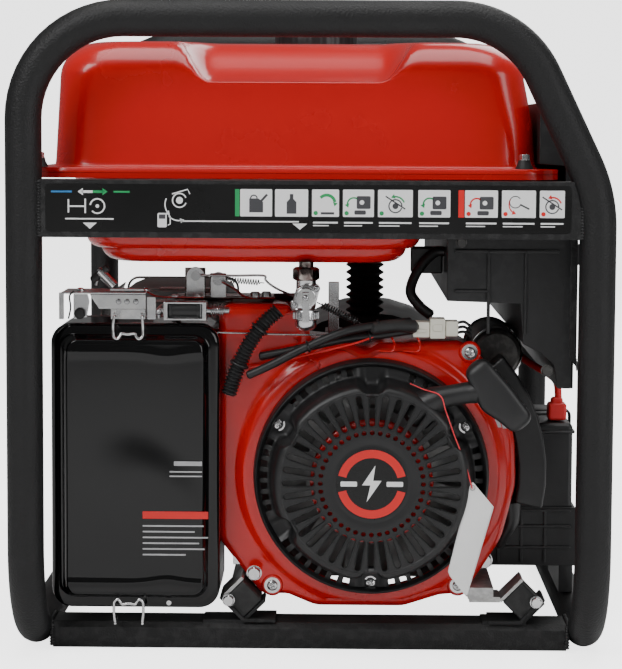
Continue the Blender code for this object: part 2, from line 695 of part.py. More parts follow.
def crankcase():
    """Cast crankcase with its slanted finned barrel, foot rails and the bar over the near isolators."""
    right = CRANK_X + CASE_REACH
    roof = 0.262
    upper_x, upper_z = on_cylinder(BARREL_START, 0.062)
    lower_x, lower_z = on_cylinder(BARREL_START, -0.062)
    outline = [(right, BASE_Z + 0.004), (right, 0.232), (right - 0.022, roof), (upper_x + 0.01, roof),
               (upper_x, upper_z), (lower_x, lower_z), (CRANK_X - 0.092, 0.100), (CRANK_X - 0.085, BASE_Z + 0.004)]
    case = prism("crankcase", outline, CASE_Y, CASE_BACK_Y, CAST_ALLOY)
    barrel = prism("barrel", barrel_outline(), *BARREL_Y)
    left_rail = box("foot_rail_left", (CRANK_X - 0.127, SHROUD_Y + 0.032, BASE_Z),
                    (CRANK_X - 0.106, CASE_BACK_Y - 0.02, BASE_Z + 0.0105))
    right_rail = box("foot_rail_right", (CRANK_X + 0.088, SHROUD_Y - 0.010, BASE_Z),
                     (CRANK_X + 0.111, CASE_BACK_Y - 0.02, BASE_Z + 0.0105))
    base = box("base", (CRANK_X - 0.110, CASE_Y + 0.004, BASE_Z), (CRANK_X + 0.090, CASE_BACK_Y - 0.03, BASE_Z + 0.009))
    pivot_post = box("governor_post", (0.012, -0.172, roof - 0.004), (0.028, -0.130, 0.2802))
    tunnel = cylinder("shaft_tunnel", (CRANK_X, CASE_Y - 0.05, CRANK_Z), (CRANK_X, CASE_BACK_Y + 0.05, CRANK_Z),
                      SHAFT_RADIUS + LOOSE)
    join(case, barrel, left_rail, right_rail, base, pivot_post, *hanger("engine_hanger", -1))
    cut(case, tunnel)


def cylinder_head():
    """Head with two wide fins, and the pressed rocker cover on it."""
    outline = [on_cylinder(a, c) for a, c in
               ((DECK + GAP, 0.060), (DECK + 0.012, 0.060), (DECK + 0.012, 0.052), (DECK + 0.020, 0.052),
                (DECK + 0.020, 0.060), (HEAD_END, 0.056), (HEAD_END, -0.056), (DECK + 0.020, -0.060),
                (DECK + 0.020, -0.052), (DECK + 0.012, -0.052), (DECK + 0.012, -0.060), (DECK + GAP, -0.060))]
    head = prism("cylinder_head", outline, *BARREL_Y, CAST_ALLOY)
    port = cylinder("exhaust_flange", (-0.115, BARREL_Y[1] - 0.004, 0.235), (-0.115, BARREL_Y[1] + 0.008, 0.235), 0.020)
    join(head, port)
    cover = [on_cylinder(a, c) for a, c in
             ((HEAD_END + GAP, 0.048), (HEAD_END + 0.006, 0.048), (ROCKER_END - 0.008, 0.042), (ROCKER_END, 0.034),
              (ROCKER_END, -0.034), (ROCKER_END - 0.008, -0.042), (HEAD_END + 0.006, -0.048), (HEAD_END + GAP, -0.048))]
    prism("rocker_cover", cover, BARREL_Y[0] + 0.010, BARREL_Y[1] - 0.010, DARK_STEEL)


def running_gear():
    """Shaft, flywheel with its fan, and the alternator's rotor, all turning about one axis."""
    axis = (CRANK_X, 0, CRANK_Z)
    shaft_end = COVER_Y + COVER_LENGTH - 0.012
    cylinder("crankshaft", (CRANK_X, SHROUD_Y + 0.004, CRANK_Z), (CRANK_X, shaft_end, CRANK_Z), SHAFT_RADIUS, STEEL,
             sides=20, origin=axis)
    blades = 12
    outline = []
    for i in range(blades):
        for turn, radius in ((0.0, 0.060), (0.36, 0.060), (0.50, FAN_RADIUS), (0.64, FAN_RADIUS), (0.78, 0.060)):
            angle = math.tau * (i + turn) / blades
            outline.append((CRANK_X + radius * math.cos(angle), CRANK_Z + radius * math.sin(angle)))
    front = SHROUD_Y + 0.006
    fan = prism("flywheel_fan", outline, front, front + 0.030, CAST_ALLOY, origin=axis)
    disc = cylinder("fan_disc", (CRANK_X, front + 0.026, CRANK_Z), (CRANK_X, front + 0.046, CRANK_Z), FAN_RADIUS)
    hub = cylinder("fan_bore", (CRANK_X, front - 0.02, CRANK_Z), (CRANK_X, front + 0.07, CRANK_Z), SHAFT_RADIUS + GAP)
    join(fan, disc)
    cut(fan, hub)
    radius = STATOR_RADIUS - STATOR_WALL - ROTOR_CLEARANCE
    rotor = cylinder("alternator_rotor", (CRANK_X, STATOR_Y + 0.030, CRANK_Z),
                     (CRANK_X, STATOR_Y + STATOR_LENGTH - 0.030, CRANK_Z), radius, DARK_STEEL, sides=24, origin=axis)
    cut(rotor, cylinder("rotor_bore", (CRANK_X, STATOR_Y, CRANK_Z), (CRANK_X, COVER_Y, CRANK_Z), SHAFT_RADIUS + GAP,
                        sides=20))


def shroud_outline():
    """The fan shroud's face, anticlockwise from the bottom right."""
    left = CRANK_X - SHROUD_LEFT
    outline = arc(CRANK_X, CRANK_Z, SHROUD_RADIUS, -68, 50, 12)
    outline += [(CRANK_X + 0.084, 0.2645), (CRANK_X - 0.018, 0.2705), (CRANK_X - 0.060, 0.2770),
                (CRANK_X - 0.077, SHROUD_TOP_Z), (left, SHROUD_TOP_Z), (left, 0.098), (CRANK_X - 0.097, 0.0520),
                (CRANK_X - 0.049, SHROUD_BOTTOM_Z), (CRANK_X + 0.028, SHROUD_BOTTOM_Z)]
    return outline


def fan_shroud():
    """Pressed housing round the fan, open at the back and round the recoil starter."""
    shroud = prism("fan_shroud", shroud_outline(), SHROUD_Y, SHROUD_BACK_Y, RED_PAINT)
    hollow = prism("shroud_inside", inset(shroud_outline(), SHROUD_WALL), SHROUD_Y + SHROUD_WALL, SHROUD_BACK_Y + 0.02)
    eye = cylinder("shroud_eye", (CRANK_X, SHROUD_Y - 0.02, CRANK_Z), (CRANK_X, SHROUD_Y + 0.02, CRANK_Z),
                   FAN_RADIUS + FAN_CLEARANCE, sides=32)
    cut(shroud, hollow, eye)


def recoil_starter():
    """Domed cover, rope reel and the pull grip with its nose."""
    depth = RECOIL_DEPTH
    wall = RECOIL_WALL
    axis_point = (CRANK_X, RECOIL_BACK_Y, CRANK_Z)
    outside = [(0.0, depth), (RECOIL_DISC, depth - 0.001), (RECOIL_DISC + 0.009, depth - 0.010),
               (RECOIL_DISC + 0.013, depth - 0.024), (RECOIL_RADIUS - 0.003, depth - 0.028), (RECOIL_RADIUS, depth - 0.032),
               (RECOIL_RADIUS, 0.0)]
    inside = [(RECOIL_RADIUS - wall, 0.0), (RECOIL_RADIUS - wall, depth - 0.032 - wall),
              (RECOIL_DISC + 0.013 - wall, depth - 0.028), (RECOIL_DISC - wall, depth - 0.004 - wall),
              (0.0, depth - wall)]
    cover = turned("recoil_cover", outside + inside, axis_point, (0, -1, 0), BLACK_PLASTIC, steps=32)
    nose = cylinder("rope_nose", (CRANK_X + 0.062, RECOIL_FRONT_Y + 0.019, 0.2235), (0.1430, RECOIL_FRONT_Y + 0.013, 0.2385),
                    0.0130, sides=12, far_radius=0.0085)
    hollow = cylinder("nose_hollow", (CRANK_X + 0.050, RECOIL_FRONT_Y + 0.019, 0.2210), (0.150, RECOIL_FRONT_Y + 0.013, 0.2400),
                      0.0040, sides=8)
    clear = cylinder("reel_room", (CRANK_X, RECOIL_FRONT_Y + 0.006, CRANK_Z), (CRANK_X, RECOIL_BACK_Y + 0.001, CRANK_Z),
                     RECOIL_DISC - 0.008, sides=24)
    join(cover, nose)
    cut(cover, hollow, clear)

    reel_low = RECOIL_FRONT_Y + 0.010
    reel = turned("recoil_reel", [(0.0, 0.018), (REEL_RADIUS, 0.018), (REEL_RADIUS, 0.015), (REEL_RADIUS - 0.012, 0.013),
                                  (REEL_RADIUS - 0.012, 0.005), (REEL_RADIUS, 0.003), (REEL_RADIUS, 0.0), (0.0, 0.0)],
                  (CRANK_X, reel_low, CRANK_Z), ALONG_Y, BLACK_PLASTIC, steps=20)
    bpy.context.view_layer.update()
    grip_y = RECOIL_FRONT_Y + 0.011
    grip_middle = (0.1650, grip_y, 0.2360)
    lean = Matrix.Rotation(math.radians(45), 4, 'Y')
    shape = bmesh.new()
    bmesh.ops.create_cube(shape, size=1.0)
    bmesh.ops.scale(shape, vec=(0.078, 0.024, 0.0215), verts=shape.verts)
    bmesh.ops.bevel(shape, geom=list(shape.edges), offset=0.0075, segments=2, profile=0.5, affect='EDGES')
    bmesh.ops.transform(shape, matrix=Matrix.Translation(grip_middle) @ lean, verts=shape.verts)
    from_bmesh("recoil_grip", shape, BLACK_PLASTIC, grip_middle)
    return reel


def side_parts():
    """Curved side duct right of the shroud, and the starter motor on the crankcase's shoulder."""
    inner = SHROUD_RADIUS + 0.003
    outer = 0.160
    outline = arc(CRANK_X, CRANK_Z, outer, -12, 42, 7) + arc(CRANK_X, CRANK_Z, inner, 42, -12, 7)
    prism("side_duct", outline, SHROUD_Y + 0.018, SHROUD_Y + 0.056, BLACK_PLASTIC)
    x, z = CRANK_X + 0.117, 0.262
    motor = cylinder("starter_motor", (x, CASE_Y + 0.002, z), (x, CASE_Y + 0.125, z), 0.0235, DARK_STEEL, sides=20)
    join(motor, cylinder("starter_nose", (x, CASE_Y - 0.018, z), (x, CASE_Y + 0.004, z), 0.014, sides=16))


def exhaust():
    """Muffler with its inlet pipe and its tail pipe."""
    low, high = (-0.213, 0.034, 0.150), (-0.090, 0.270, 0.302)
    muffler = box("muffler", low, high, DARK_STEEL, bevel=0.022, steps=2, along=ALONG_Y)
    inlet = cylinder("inlet_pipe", (-0.115, BARREL_Y[1] + 0.008 + GAP, 0.235), (-0.115, 0.040, 0.235), 0.014, sides=16)
    tail = cylinder("tail_pipe", (-0.150, 0.262, 0.262), (-0.150, 0.292, 0.262), 0.012, sides=16)
    bore = cylinder("tail_bore", (-0.150, 0.256, 0.262), (-0.150, 0.310, 0.262), 0.0095, sides=16)
    join(muffler, inlet, tail)
    cut(muffler, bore)


crankcase()
cylinder_head()
running_gear()
fan_shroud()
recoil_starter()
side_parts()
exhaust()


# ---- alternator --------------------------------------------------------------------------------
def alternator():
    """Stator housing with the bar over the far isolators, and the end cover."""
    end = STATOR_Y + STATOR_LENGTH
    housing = cylinder("alternator_housing", (CRANK_X, STATOR_Y, CRANK_Z), (CRANK_X, end, CRANK_Z), STATOR_RADIUS,
                       DARK_STEEL, sides=32)
    bore = cylinder("stator_bore", (CRANK_X, STATOR_Y - 0.02, CRANK_Z), (CRANK_X, end + 0.02, CRANK_Z),
                    STATOR_RADIUS - STATOR_WALL, sides=32)
    (_, _, hanger_z), _ = isolator_places(1)
    pillar = box("stator_foot", (CRANK_X - 0.070, end - 0.040, hanger_z), (CRANK_X + 0.070, end + 0.010, hanger_z + 0.004))
    join(housing, pillar, *hanger("stator_hanger", 1))
    cut(housing, bore)
    shell = cylinder("alternator_cover", (CRANK_X, COVER_Y, CRANK_Z), (CRANK_X, COVER_Y + COVER_LENGTH, CRANK_Z),
                     COVER_RADIUS, CAST_ALLOY, sides=32, far_radius=COVER_RADIUS - 0.012)
    hollow = cylinder("cover_inside", (CRANK_X, COVER_Y - 0.01, CRANK_Z), (CRANK_X, COVER_Y + COVER_LENGTH - 0.006, CRANK_Z),
                      COVER_RADIUS - 0.010, sides=32, far_radius=COVER_RADIUS - 0.018)
    cut(shell, hollow)


alternator()


# ---- air filter --------------------------------------------------------------------------------
def round_rect(low_x, low_z, high_x, high_z, radius, steps=4):
    """Rectangle outline with round corners, anticlockwise."""
    corners = ((high_x - radius, high_z - radius, 0), (low_x + radius, high_z - radius, 90),
               (low_x + radius, low_z + radius, 180), (high_x - radius, low_z + radius, 270))
    outline = []
    for x, z, start in corners:
        outline += arc(x, z, radius, start, start + 90, steps)
    return outline


CLIP_OFFSET, CLIP_DROP = 0.0705, 0.021


def wire_clip(name, pivot_z, away):
    """Bent wire clip that hangs from its pivot over the cover's edge bead."""
    x = FILTER_LEFT_X + CLIP_OFFSET
    half = 0.0122
    front = FILTER_FRONT_Y - 0.004
    tip_z = pivot_z - away * CLIP_DROP
    points = [(x - half, front, pivot_z), (x - half, front, tip_z), (x + half, front, tip_z),
              (x + half, front, pivot_z)]
    wire = 0.0015
    return tube(name, rounded(points, [0.004, 0.004], steps=3), wire, ZINC, origin=(x, front, pivot_z))


def air_filter():
    """Back plate, element and pressed cover, with the two wire clips."""
    shape = (FILTER_LEFT_X, FILTER_BOTTOM_Z, FILTER_RIGHT_X, FILTER_TOP_Z)
    cover = prism("air_filter_cover", round_rect(*shape, FILTER_CORNER), FILTER_FRONT_Y, FILTER_BACK_Y, GLOSS_BLACK)
    low_x, low_z, high_x, high_z = (shape[0] + FILTER_WALL, shape[1] + FILTER_WALL,
                                    shape[2] - FILTER_WALL, shape[3] - FILTER_WALL)
    hollow = prism("cover_hollow", round_rect(low_x, low_z, high_x, high_z, FILTER_CORNER - FILTER_WALL),
                   FILTER_FRONT_Y + FILTER_WALL, FILTER_BACK_Y + 0.02)
    cut(cover, hollow)
    base = prism("air_filter_base", round_rect(*shape, FILTER_CORNER), FILTER_BACK_Y + GAP,
                 FILTER_BACK_Y + GAP + FILTER_BASE, BLACK_PLASTIC)
    port = cylinder("filter_port", (-0.146, FILTER_BACK_Y - 0.01, 0.270), (-0.146, FILTER_BACK_Y + 0.03, 0.270), 0.012,
                    sides=16)
    cut(base, port)
    margin = 0.010
    box("filter_element", (low_x + margin, FILTER_FRONT_Y + 0.018, low_z + margin + 0.01),
        (high_x - margin, FILTER_BACK_Y - GAP, high_z - 0.050), FOAM)
    wire_clip("filter_clip_top", FILTER_TOP_Z + 0.0095, 1)
    wire_clip("filter_clip_bottom", FILTER_BOTTOM_Z - 0.0115, -1)


air_filter()


# ---- choke, throttle and governor controls -----------------------------------------------------
def controls():
    """Zinc brackets over the air filter with the choke slide, throttle solenoid and governor arm."""
    shelf_z = FILTER_TOP_Z + 0.0028
    sheet = 0.0015
    bracket_x = (-0.2250, -0.1465)
    front_y = FILTER_FRONT_Y + 0.014
    outline = [(front_y, shelf_z), (front_y + sheet, shelf_z), (front_y + sheet, shelf_z + 0.0235),
               (front_y + 0.050, shelf_z + 0.0235), (front_y + 0.050, shelf_z + 0.0250), (front_y, shelf_z + 0.0250)]
    prism("control_bracket", outline, *bracket_x, ZINC, along='x')

    top = shelf_z + 0.0250
    slide_y = front_y + 0.012
    choke = box("choke_lever", (-0.180, slide_y - 0.005, top + LOOSE / 2), (-0.150, slide_y + 0.005, top + 0.0022),
                DARK_STEEL, origin=(-0.154, slide_y, top))
    handle = cylinder("choke_handle", (-0.1765, slide_y, top + 0.0045), (-0.1900, slide_y, top + 0.0180), 0.0045, sides=12)
    join(choke, handle)

    coil_low, coil_high = -0.1315, -0.0930
    coil_y = front_y - 0.004
    coil_z = shelf_z + 0.0085
    body = box("throttle_solenoid", (coil_low, coil_y, shelf_z), (coil_high, coil_y + 0.020, shelf_z + 0.017), ZINC)
    window = box("solenoid_window", (coil_low + 0.004, coil_y - 0.01, shelf_z + 0.0022),
                 (coil_high - 0.004, coil_y + 0.004, shelf_z + 0.0148))
    bore = cylinder("solenoid_bore", (coil_low - 0.02, coil_y + 0.0105, coil_z), (coil_high + 0.02, coil_y + 0.0105, coil_z),
                    0.0042, sides=12)
    cut(body, window, bore)
    cylinder("solenoid_plunger", (coil_low - 0.004, coil_y + 0.0105, coil_z), (coil_high + 0.020, coil_y + 0.0105, coil_z),
             0.0030, STEEL, sides=12, origin=(coil_high, coil_y + 0.0105, coil_z))

    plate_z = SHROUD_TOP_Z + 0.008
    plate = box("throttle_bracket", (-0.125, -0.235, plate_z), (-0.035, -0.195, plate_z + 0.002), DARK_STEEL)
    tabs = [box(f"bracket_tab_{i}", (low, -0.216, plate_z + 0.001), (high, -0.214, top_z))
            for i, (low, high, top_z) in enumerate(((-0.117, -0.098, 0.3420), (-0.094, -0.079, 0.3370)))]
    leg = box("bracket_leg", (-0.072, -0.232, SHROUD_TOP_Z + GAP), (-0.045, -0.230, plate_z + 0.001))
    join(plate, *tabs, leg)

    pivot = (0.020, -0.188, 0.2850)
    arm = box("governor_arm", (0.015, -0.190, 0.2800), (0.025, -0.188, 0.3280), ZINC, origin=pivot)
    join(arm, cylinder("governor_shaft", (0.020, -0.189, 0.2850), (0.020, -0.128, 0.2850), 0.0042, sides=12))


controls()


# ---- control box, panel and battery ------------------------------------------------------------
def panel_line(offset):
    """The panel's outer line from its bottom up over the slope, moved out by an offset."""
    lean = math.tan(SLOPE_ANGLE)
    knee_z = 0.4325
    top_z = 0.4935
    x = PANEL_X + offset
    knee = (x, knee_z + offset * math.tan(SLOPE_ANGLE / 2))
    crest_x = x - (top_z - knee[1]) * lean
    return [(x, 0.2405), knee, (crest_x, top_z)]


def control_box():
    """Moulded box behind the panel, stepped round the engine, and the panel plate over it."""
    half = BOX_LENGTH / 2
    bottom, knee, crest = panel_line(0.0)
    neck_x = TANK_RIGHT_X + 0.005
    wall_x = TANK_RIGHT_X - TANK_RIM + 0.0015
    outline = [bottom, knee, crest, (wall_x - 0.0005, crest[1]), (wall_x - 0.0005, RIM_TOP_Z + 0.0045),
               (neck_x, RIM_TOP_Z + 0.0030), (neck_x, RIM_Z - 0.006), (BOX_LEFT_X, RIM_Z - 0.006), (BOX_LEFT_X, 0.3180),
               (0.1860, 0.3160), (0.1890, 0.2800), (0.2050, 0.2720), (0.2160, 0.2620), (0.2200, bottom[1])]
    shell = prism("control_box", outline, -half, half, BLACK_PLASTIC)
    room = box("box_room", (BOX_LEFT_X + BOX_WALL, -half + BOX_WALL, 0.3180 + BOX_WALL),
               (PANEL_X + 0.01, half - BOX_WALL, RIM_Z - 0.006 - BOX_WALL))
    cut(shell, room)

    outer = panel_line(PANEL_SHEET + GAP)
    inner = panel_line(GAP)
    plate = prism("panel_plate", inner[::-1] + outer, -half + 0.002, half - 0.002, TEXTURED_BLACK)
    face = PANEL_X + PANEL_SHEET + GAP
    key_ring = cylinder("key_ring", (face - 0.001, -0.140, SOCKET_Z), (face + 0.0050, -0.140, SOCKET_Z), 0.0140)
    breaker_ring = cylinder("breaker_ring", (face - 0.001, -0.070, SOCKET_Z), (face + 0.0050, -0.070, SOCKET_Z), 0.0115)
    breaker_bore = cylinder("breaker_bore", (face, -0.070, SOCKET_Z), (face + 0.02, -0.070, SOCKET_Z), 0.0066, sides=16)
    join(plate, key_ring, breaker_ring)
    cut(plate, breaker_bore)
    cylinder("breaker_button", (face + 0.0036, -0.070, SOCKET_Z), (face + 0.0095, -0.070, SOCKET_Z), 0.0060,
             NYLON, sides=16, origin=(face + 0.0036, -0.070, SOCKET_Z))
    key_origin = (face + 0.0050 + GAP, -0.140, SOCKET_Z)
    key = cylinder("ignition_key", key_origin, (face + 0.0085, -0.140, SOCKET_Z), 0.0055, STEEL, 16, origin=key_origin)
    join(key, box("key_bow", (face + 0.0080, -0.1412, SOCKET_Z - 0.010), (face + 0.0260, -0.1388, SOCKET_Z + 0.010)))
    for number, y in (("1", 0.010), ("2", 0.090)):
        cut(plate, cylinder(f"socket_hole_{number}", (face - 0.02, y, SOCKET_Z), (face + 0.02, y, SOCKET_Z),
                            SOCKET_RADIUS + 0.0035))
        flange = face + GAP
        turned(f"socket_{number}",
               [(0.0, -0.0110), (SOCKET_RADIUS, -0.0110), (SOCKET_RADIUS, 0.0055), (SOCKET_RADIUS + 0.0085, 0.0055),
                (SOCKET_RADIUS + 0.0095, 0.0), (SOCKET_RADIUS + 0.0025, 0.0), (SOCKET_RADIUS + 0.0025, -0.0135),
                (0.0, -0.0135)], (flange, y, SOCKET_Z), ALONG_X, BLACK_PLASTIC)


def battery():
    """Battery in its tray beside the crankcase."""
    size = Vector(BATTERY_SIZE)
    right = LEG_X - 0.0035
    near_y = SHROUD_BACK_Y + 0.0045
    low = Vector((right - size.x, near_y, TRAY_FLOOR_Z + TRAY_WALL + GAP))
    block = box("battery", low, low + size, BLACK_PLASTIC, bevel=0.003, steps=1)
    post = cylinder("battery_post", (right - 0.016, near_y + 0.020, low.z + size.z - 0.001),
                    (right - 0.016, near_y + 0.020, low.z + size.z + 0.008), 0.006, sides=12)
    join(block, post)
    spread = Vector((TRAY_WALL + LOOSE / 2, TRAY_WALL + LOOSE / 2, 0))
    tray_low = Vector((low.x, low.y, TRAY_FLOOR_Z)) - spread
    tray_high = Vector((right, near_y + size.y, 0.1160)) + spread
    tray = box("battery_tray", tray_low, tray_high, BLACK_PLASTIC)
    room = box("tray_room", (tray_low.x + TRAY_WALL, tray_low.y + TRAY_WALL, TRAY_FLOOR_Z + TRAY_WALL),
               (tray_high.x - TRAY_WALL, tray_high.y - TRAY_WALL, 0.2))
    foot = box("tray_foot", (LEG_X - 0.014, near_y + 0.010, 2 * TUBE_RADIUS + 0.0005),
               (tray_high.x - 0.0005, near_y + 0.120, TRAY_FLOOR_Z + 0.001))
    join(tray, foot)
    cut(tray, room)


control_box()
battery()


# ---- wiring ------------------------------------------------------------------------------------
CONDUIT_ROUTE = [(-0.0290, -0.2790, 0.3080), (-0.0420, -0.2800, 0.2960), (-0.0560, -0.2800, 0.2760),
                 (-0.0665, -0.2790, 0.2530), (-0.0735, -0.2780, 0.2320)]
LOWER_LEAD_ROUTE = [(-0.0450, -0.2740, 0.2660), (-0.0240, -0.2745, 0.2700), (0.0000, -0.2745, 0.2755),
                    (0.0330, -0.2740, 0.2825), (0.0640, -0.2730, 0.2860), (0.0890, -0.2700, 0.2900)]
UPPER_LEAD_ROUTE = [(-0.0555, -0.2840, 0.2500), (-0.0340, -0.2840, 0.2600), (-0.0070, -0.2840, 0.2740),
                    (0.0300, -0.2835, 0.2895), (0.0620, -0.2790, 0.2955), (0.0890, -0.2720, 0.2980)]
STRAP_ROUTE = [(0.1200, -0.2300, 0.3590), (0.1110, -0.2305, 0.3575), (0.0970, -0.2330, 0.3420),
               (0.0900, -0.2370, 0.3230), (0.0980, -0.2420, 0.3100), (0.1080, -0.2445, 0.3020)]
CONNECTOR_LOW = (0.0915, -0.2760, 0.2830)
CONNECTOR_HIGH = (0.1320, -0.2540, 0.3010)


def wiring():
    """Corrugated conduit, two sleeved leads, the nylon connector and the strap lead to the box."""
    tube("wire_conduit", smooth_route(CONDUIT_ROUTE, 0.009), 0.0068, RUBBER)
    tube("lead_lower", smooth_route(LOWER_LEAD_ROUTE, 0.010), 0.0038, RUBBER)
    tube("lead_upper", smooth_route(UPPER_LEAD_ROUTE, 0.010), 0.0038, RUBBER)
    tube("strap_lead", smooth_route(STRAP_ROUTE, 0.010), 0.0055, RUBBER)
    box("wire_connector", CONNECTOR_LOW, CONNECTOR_HIGH, NYLON, bevel=0.0015, steps=1)


TAG_Y = RECOIL_FRONT_Y + 0.0050
TAG_OUTLINE = [(0.1419, 0.1583), (0.1213, 0.0780), (0.1384, 0.0570), (0.1625, 0.1373)]
TAG_STRING_ROUTE = [(0.0889, RECOIL_FRONT_Y + 0.0235, 0.2449), (0.1000, RECOIL_FRONT_Y + 0.0105, 0.2415),
                    (0.1145, RECOIL_FRONT_Y + 0.0025, 0.2369), (0.1197, RECOIL_FRONT_Y + 0.0020, 0.2229),
                    (0.1280, RECOIL_FRONT_Y + 0.0035, 0.2000), (0.1370, RECOIL_FRONT_Y + 0.0043, 0.1770),
                    (0.1436, TAG_Y - 0.0010, 0.1545)]


def hang_tag():
    """Card tag on its string, hanging in front of the shroud."""
    prism("hang_tag", TAG_OUTLINE, TAG_Y, TAG_Y + 0.0006, CARD)
    tube("tag_string", smooth_route(TAG_STRING_ROUTE, 0.006), 0.0006, RED_STRING)


wiring()
hang_tag()


def shade_round_pieces():
    """Smooth shading with sharp edges kept, on the parts' meshes."""
    for item in PARTS.objects:
        if item.type == 'MESH':
            item.data.shade_smooth()
            item.data.set_sharp_from_angle(angle=math.radians(35))


shade_round_pieces()
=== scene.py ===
"""Looks of the portable generator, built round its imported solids. All sizes are in metres.

+Z is up, the recoil starter's end faces -Y and the control panel faces +X.
"""
import json
import math

import bmesh
import bpy
import numpy as np
from mathutils import Matrix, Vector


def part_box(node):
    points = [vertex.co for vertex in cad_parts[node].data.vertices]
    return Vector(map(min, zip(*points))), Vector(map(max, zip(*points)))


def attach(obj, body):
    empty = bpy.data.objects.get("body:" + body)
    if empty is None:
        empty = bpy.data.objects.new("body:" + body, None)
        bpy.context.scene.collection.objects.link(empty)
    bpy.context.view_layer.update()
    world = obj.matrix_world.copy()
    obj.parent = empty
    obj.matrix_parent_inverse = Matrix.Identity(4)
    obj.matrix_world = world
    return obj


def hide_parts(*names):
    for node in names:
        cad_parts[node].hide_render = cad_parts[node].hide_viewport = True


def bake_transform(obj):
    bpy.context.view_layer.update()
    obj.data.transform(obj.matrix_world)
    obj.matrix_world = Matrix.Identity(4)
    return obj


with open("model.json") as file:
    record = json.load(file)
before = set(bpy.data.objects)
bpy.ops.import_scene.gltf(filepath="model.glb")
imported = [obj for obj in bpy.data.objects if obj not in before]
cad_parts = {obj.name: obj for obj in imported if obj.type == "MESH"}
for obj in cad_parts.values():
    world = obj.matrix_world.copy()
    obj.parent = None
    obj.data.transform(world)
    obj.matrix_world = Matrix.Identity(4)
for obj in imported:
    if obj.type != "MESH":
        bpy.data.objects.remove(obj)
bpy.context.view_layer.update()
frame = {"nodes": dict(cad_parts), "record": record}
NODES = frame["nodes"]
SLOT_OF = {part["node"]: part["material_slot"] for part in frame["record"]["subparts"]}
X_AXIS, Y_AXIS, Z_AXIS = np.eye(3)
TAU = math.tau


# ---- shader groups ----
def new_group(name, inputs, outputs):
    """An empty shader group with its sockets: name -> default for inputs, name -> kind for outputs."""
    group = bpy.data.node_groups.new(name, "ShaderNodeTree")
    for socket, value in inputs.items():
        kind = "NodeSocketColor" if isinstance(value, tuple) else "NodeSocketFloat"
        made = group.interface.new_socket(name=socket, in_out="INPUT", socket_type=kind)
        made.default_value = value
    for socket, kind in outputs.items():
        group.interface.new_socket(name=socket, in_out="OUTPUT", socket_type=kind)
    return group, group.nodes.new("NodeGroupInput"), group.nodes.new("NodeGroupOutput")


def add(tree, kind, links=(), **settings):
    """A node with its settings, and its input sockets linked or set."""
    node = tree.nodes.new(kind)
    for key, value in settings.items():
        setattr(node, key, value)
    for socket, value in dict(links).items():
        if isinstance(value, bpy.types.NodeSocket):
            tree.links.new(value, node.inputs[socket])
        else:
            node.inputs[socket].default_value = value
    return node


def ramp(tree, value, low, high, to_low=0.0, to_high=1.0):
    """A value mapped straight from low..high to to_low..to_high, and held at the ends."""
    return add(tree, "ShaderNodeMapRange", {"Value": value, "From Min": low, "From Max": high,
            "To Min": to_low, "To Max": to_high}).outputs["Result"]


def multiply(tree, first, second):
    """Two values multiplied."""
    return add(tree, "ShaderNodeMath", {0: first, 1: second}, operation="MULTIPLY").outputs[0]


def blend_colour(tree, share, first, second):
    """A colour between two, by a share."""
    node = add(tree, "ShaderNodeMix", {0: share, 6: first, 7: second}, data_type="RGBA")
    return node.outputs[2]


def noise(tree, scale, detail=3.0, stretch=None):
    """Noise in object coordinates; stretch draws it out along the axes with small numbers."""
    place = add(tree, "ShaderNodeTexCoord").outputs["Object"]
    if stretch:
        place = add(tree, "ShaderNodeMapping", {"Vector": place, "Scale": stretch}).outputs[0]
    return add(tree, "ShaderNodeTexNoise", {"Vector": place, "Scale": scale, "Detail": detail}).outputs[0]


def uneven_group():
    """Colour that drifts between two shades in soft patches."""
    group, start, end = new_group("uneven_colour", {"Colour": (1, 1, 1, 1), "Shade": (1, 1, 1, 1),
            "Scale": 8.0}, {"Colour": "NodeSocketColor"})
    patch = ramp(group, noise(group, start.outputs["Scale"], 5.0), 0.35, 0.68)
    colour = blend_colour(group, patch, start.outputs["Colour"], start.outputs["Shade"])
    group.links.new(colour, end.inputs["Colour"])
    return group


def worn_group():
    """Colour rubbed through to another on outward edges, broken up by noise."""
    group, start, end = new_group("worn_edges", {"Colour": (1, 1, 1, 1), "Bare": (1, 1, 1, 1), "Amount": 0.3},
             {"Colour": "NodeSocketColor", "Mask": "NodeSocketFloat"})
    edge = ramp(group, add(group, "ShaderNodeNewGeometry").outputs["Pointiness"], 0.515, 0.58)
    broken = ramp(group, noise(group, 140.0, 4.0), 0.46, 0.62)
    mask = multiply(group, multiply(group, edge, broken), start.outputs["Amount"])
    colour = blend_colour(group, mask, start.outputs["Colour"], start.outputs["Bare"])
    group.links.new(colour, end.inputs["Colour"])
    group.links.new(mask, end.inputs["Mask"])
    return group


def dust_group():
    """Thin dust that settles where a surface faces up."""
    group, start, end = new_group("settled_dust", {"Colour": (1, 1, 1, 1), "Amount": 0.1},
            {"Colour": "NodeSocketColor"})
    way = add(group, "ShaderNodeSeparateXYZ", {0: add(group, "ShaderNodeNewGeometry").outputs["Normal"]})
    facing = ramp(group, way.outputs["Z"], 0.35, 1.0)
    cloud = ramp(group, noise(group, 22.0, 6.0), 0.38, 0.72)
    mask = multiply(group, multiply(group, facing, cloud), start.outputs["Amount"])
    colour = blend_colour(group, mask, start.outputs["Colour"], (0.42, 0.4, 0.37, 1))
    group.links.new(colour, end.inputs["Colour"])
    return group


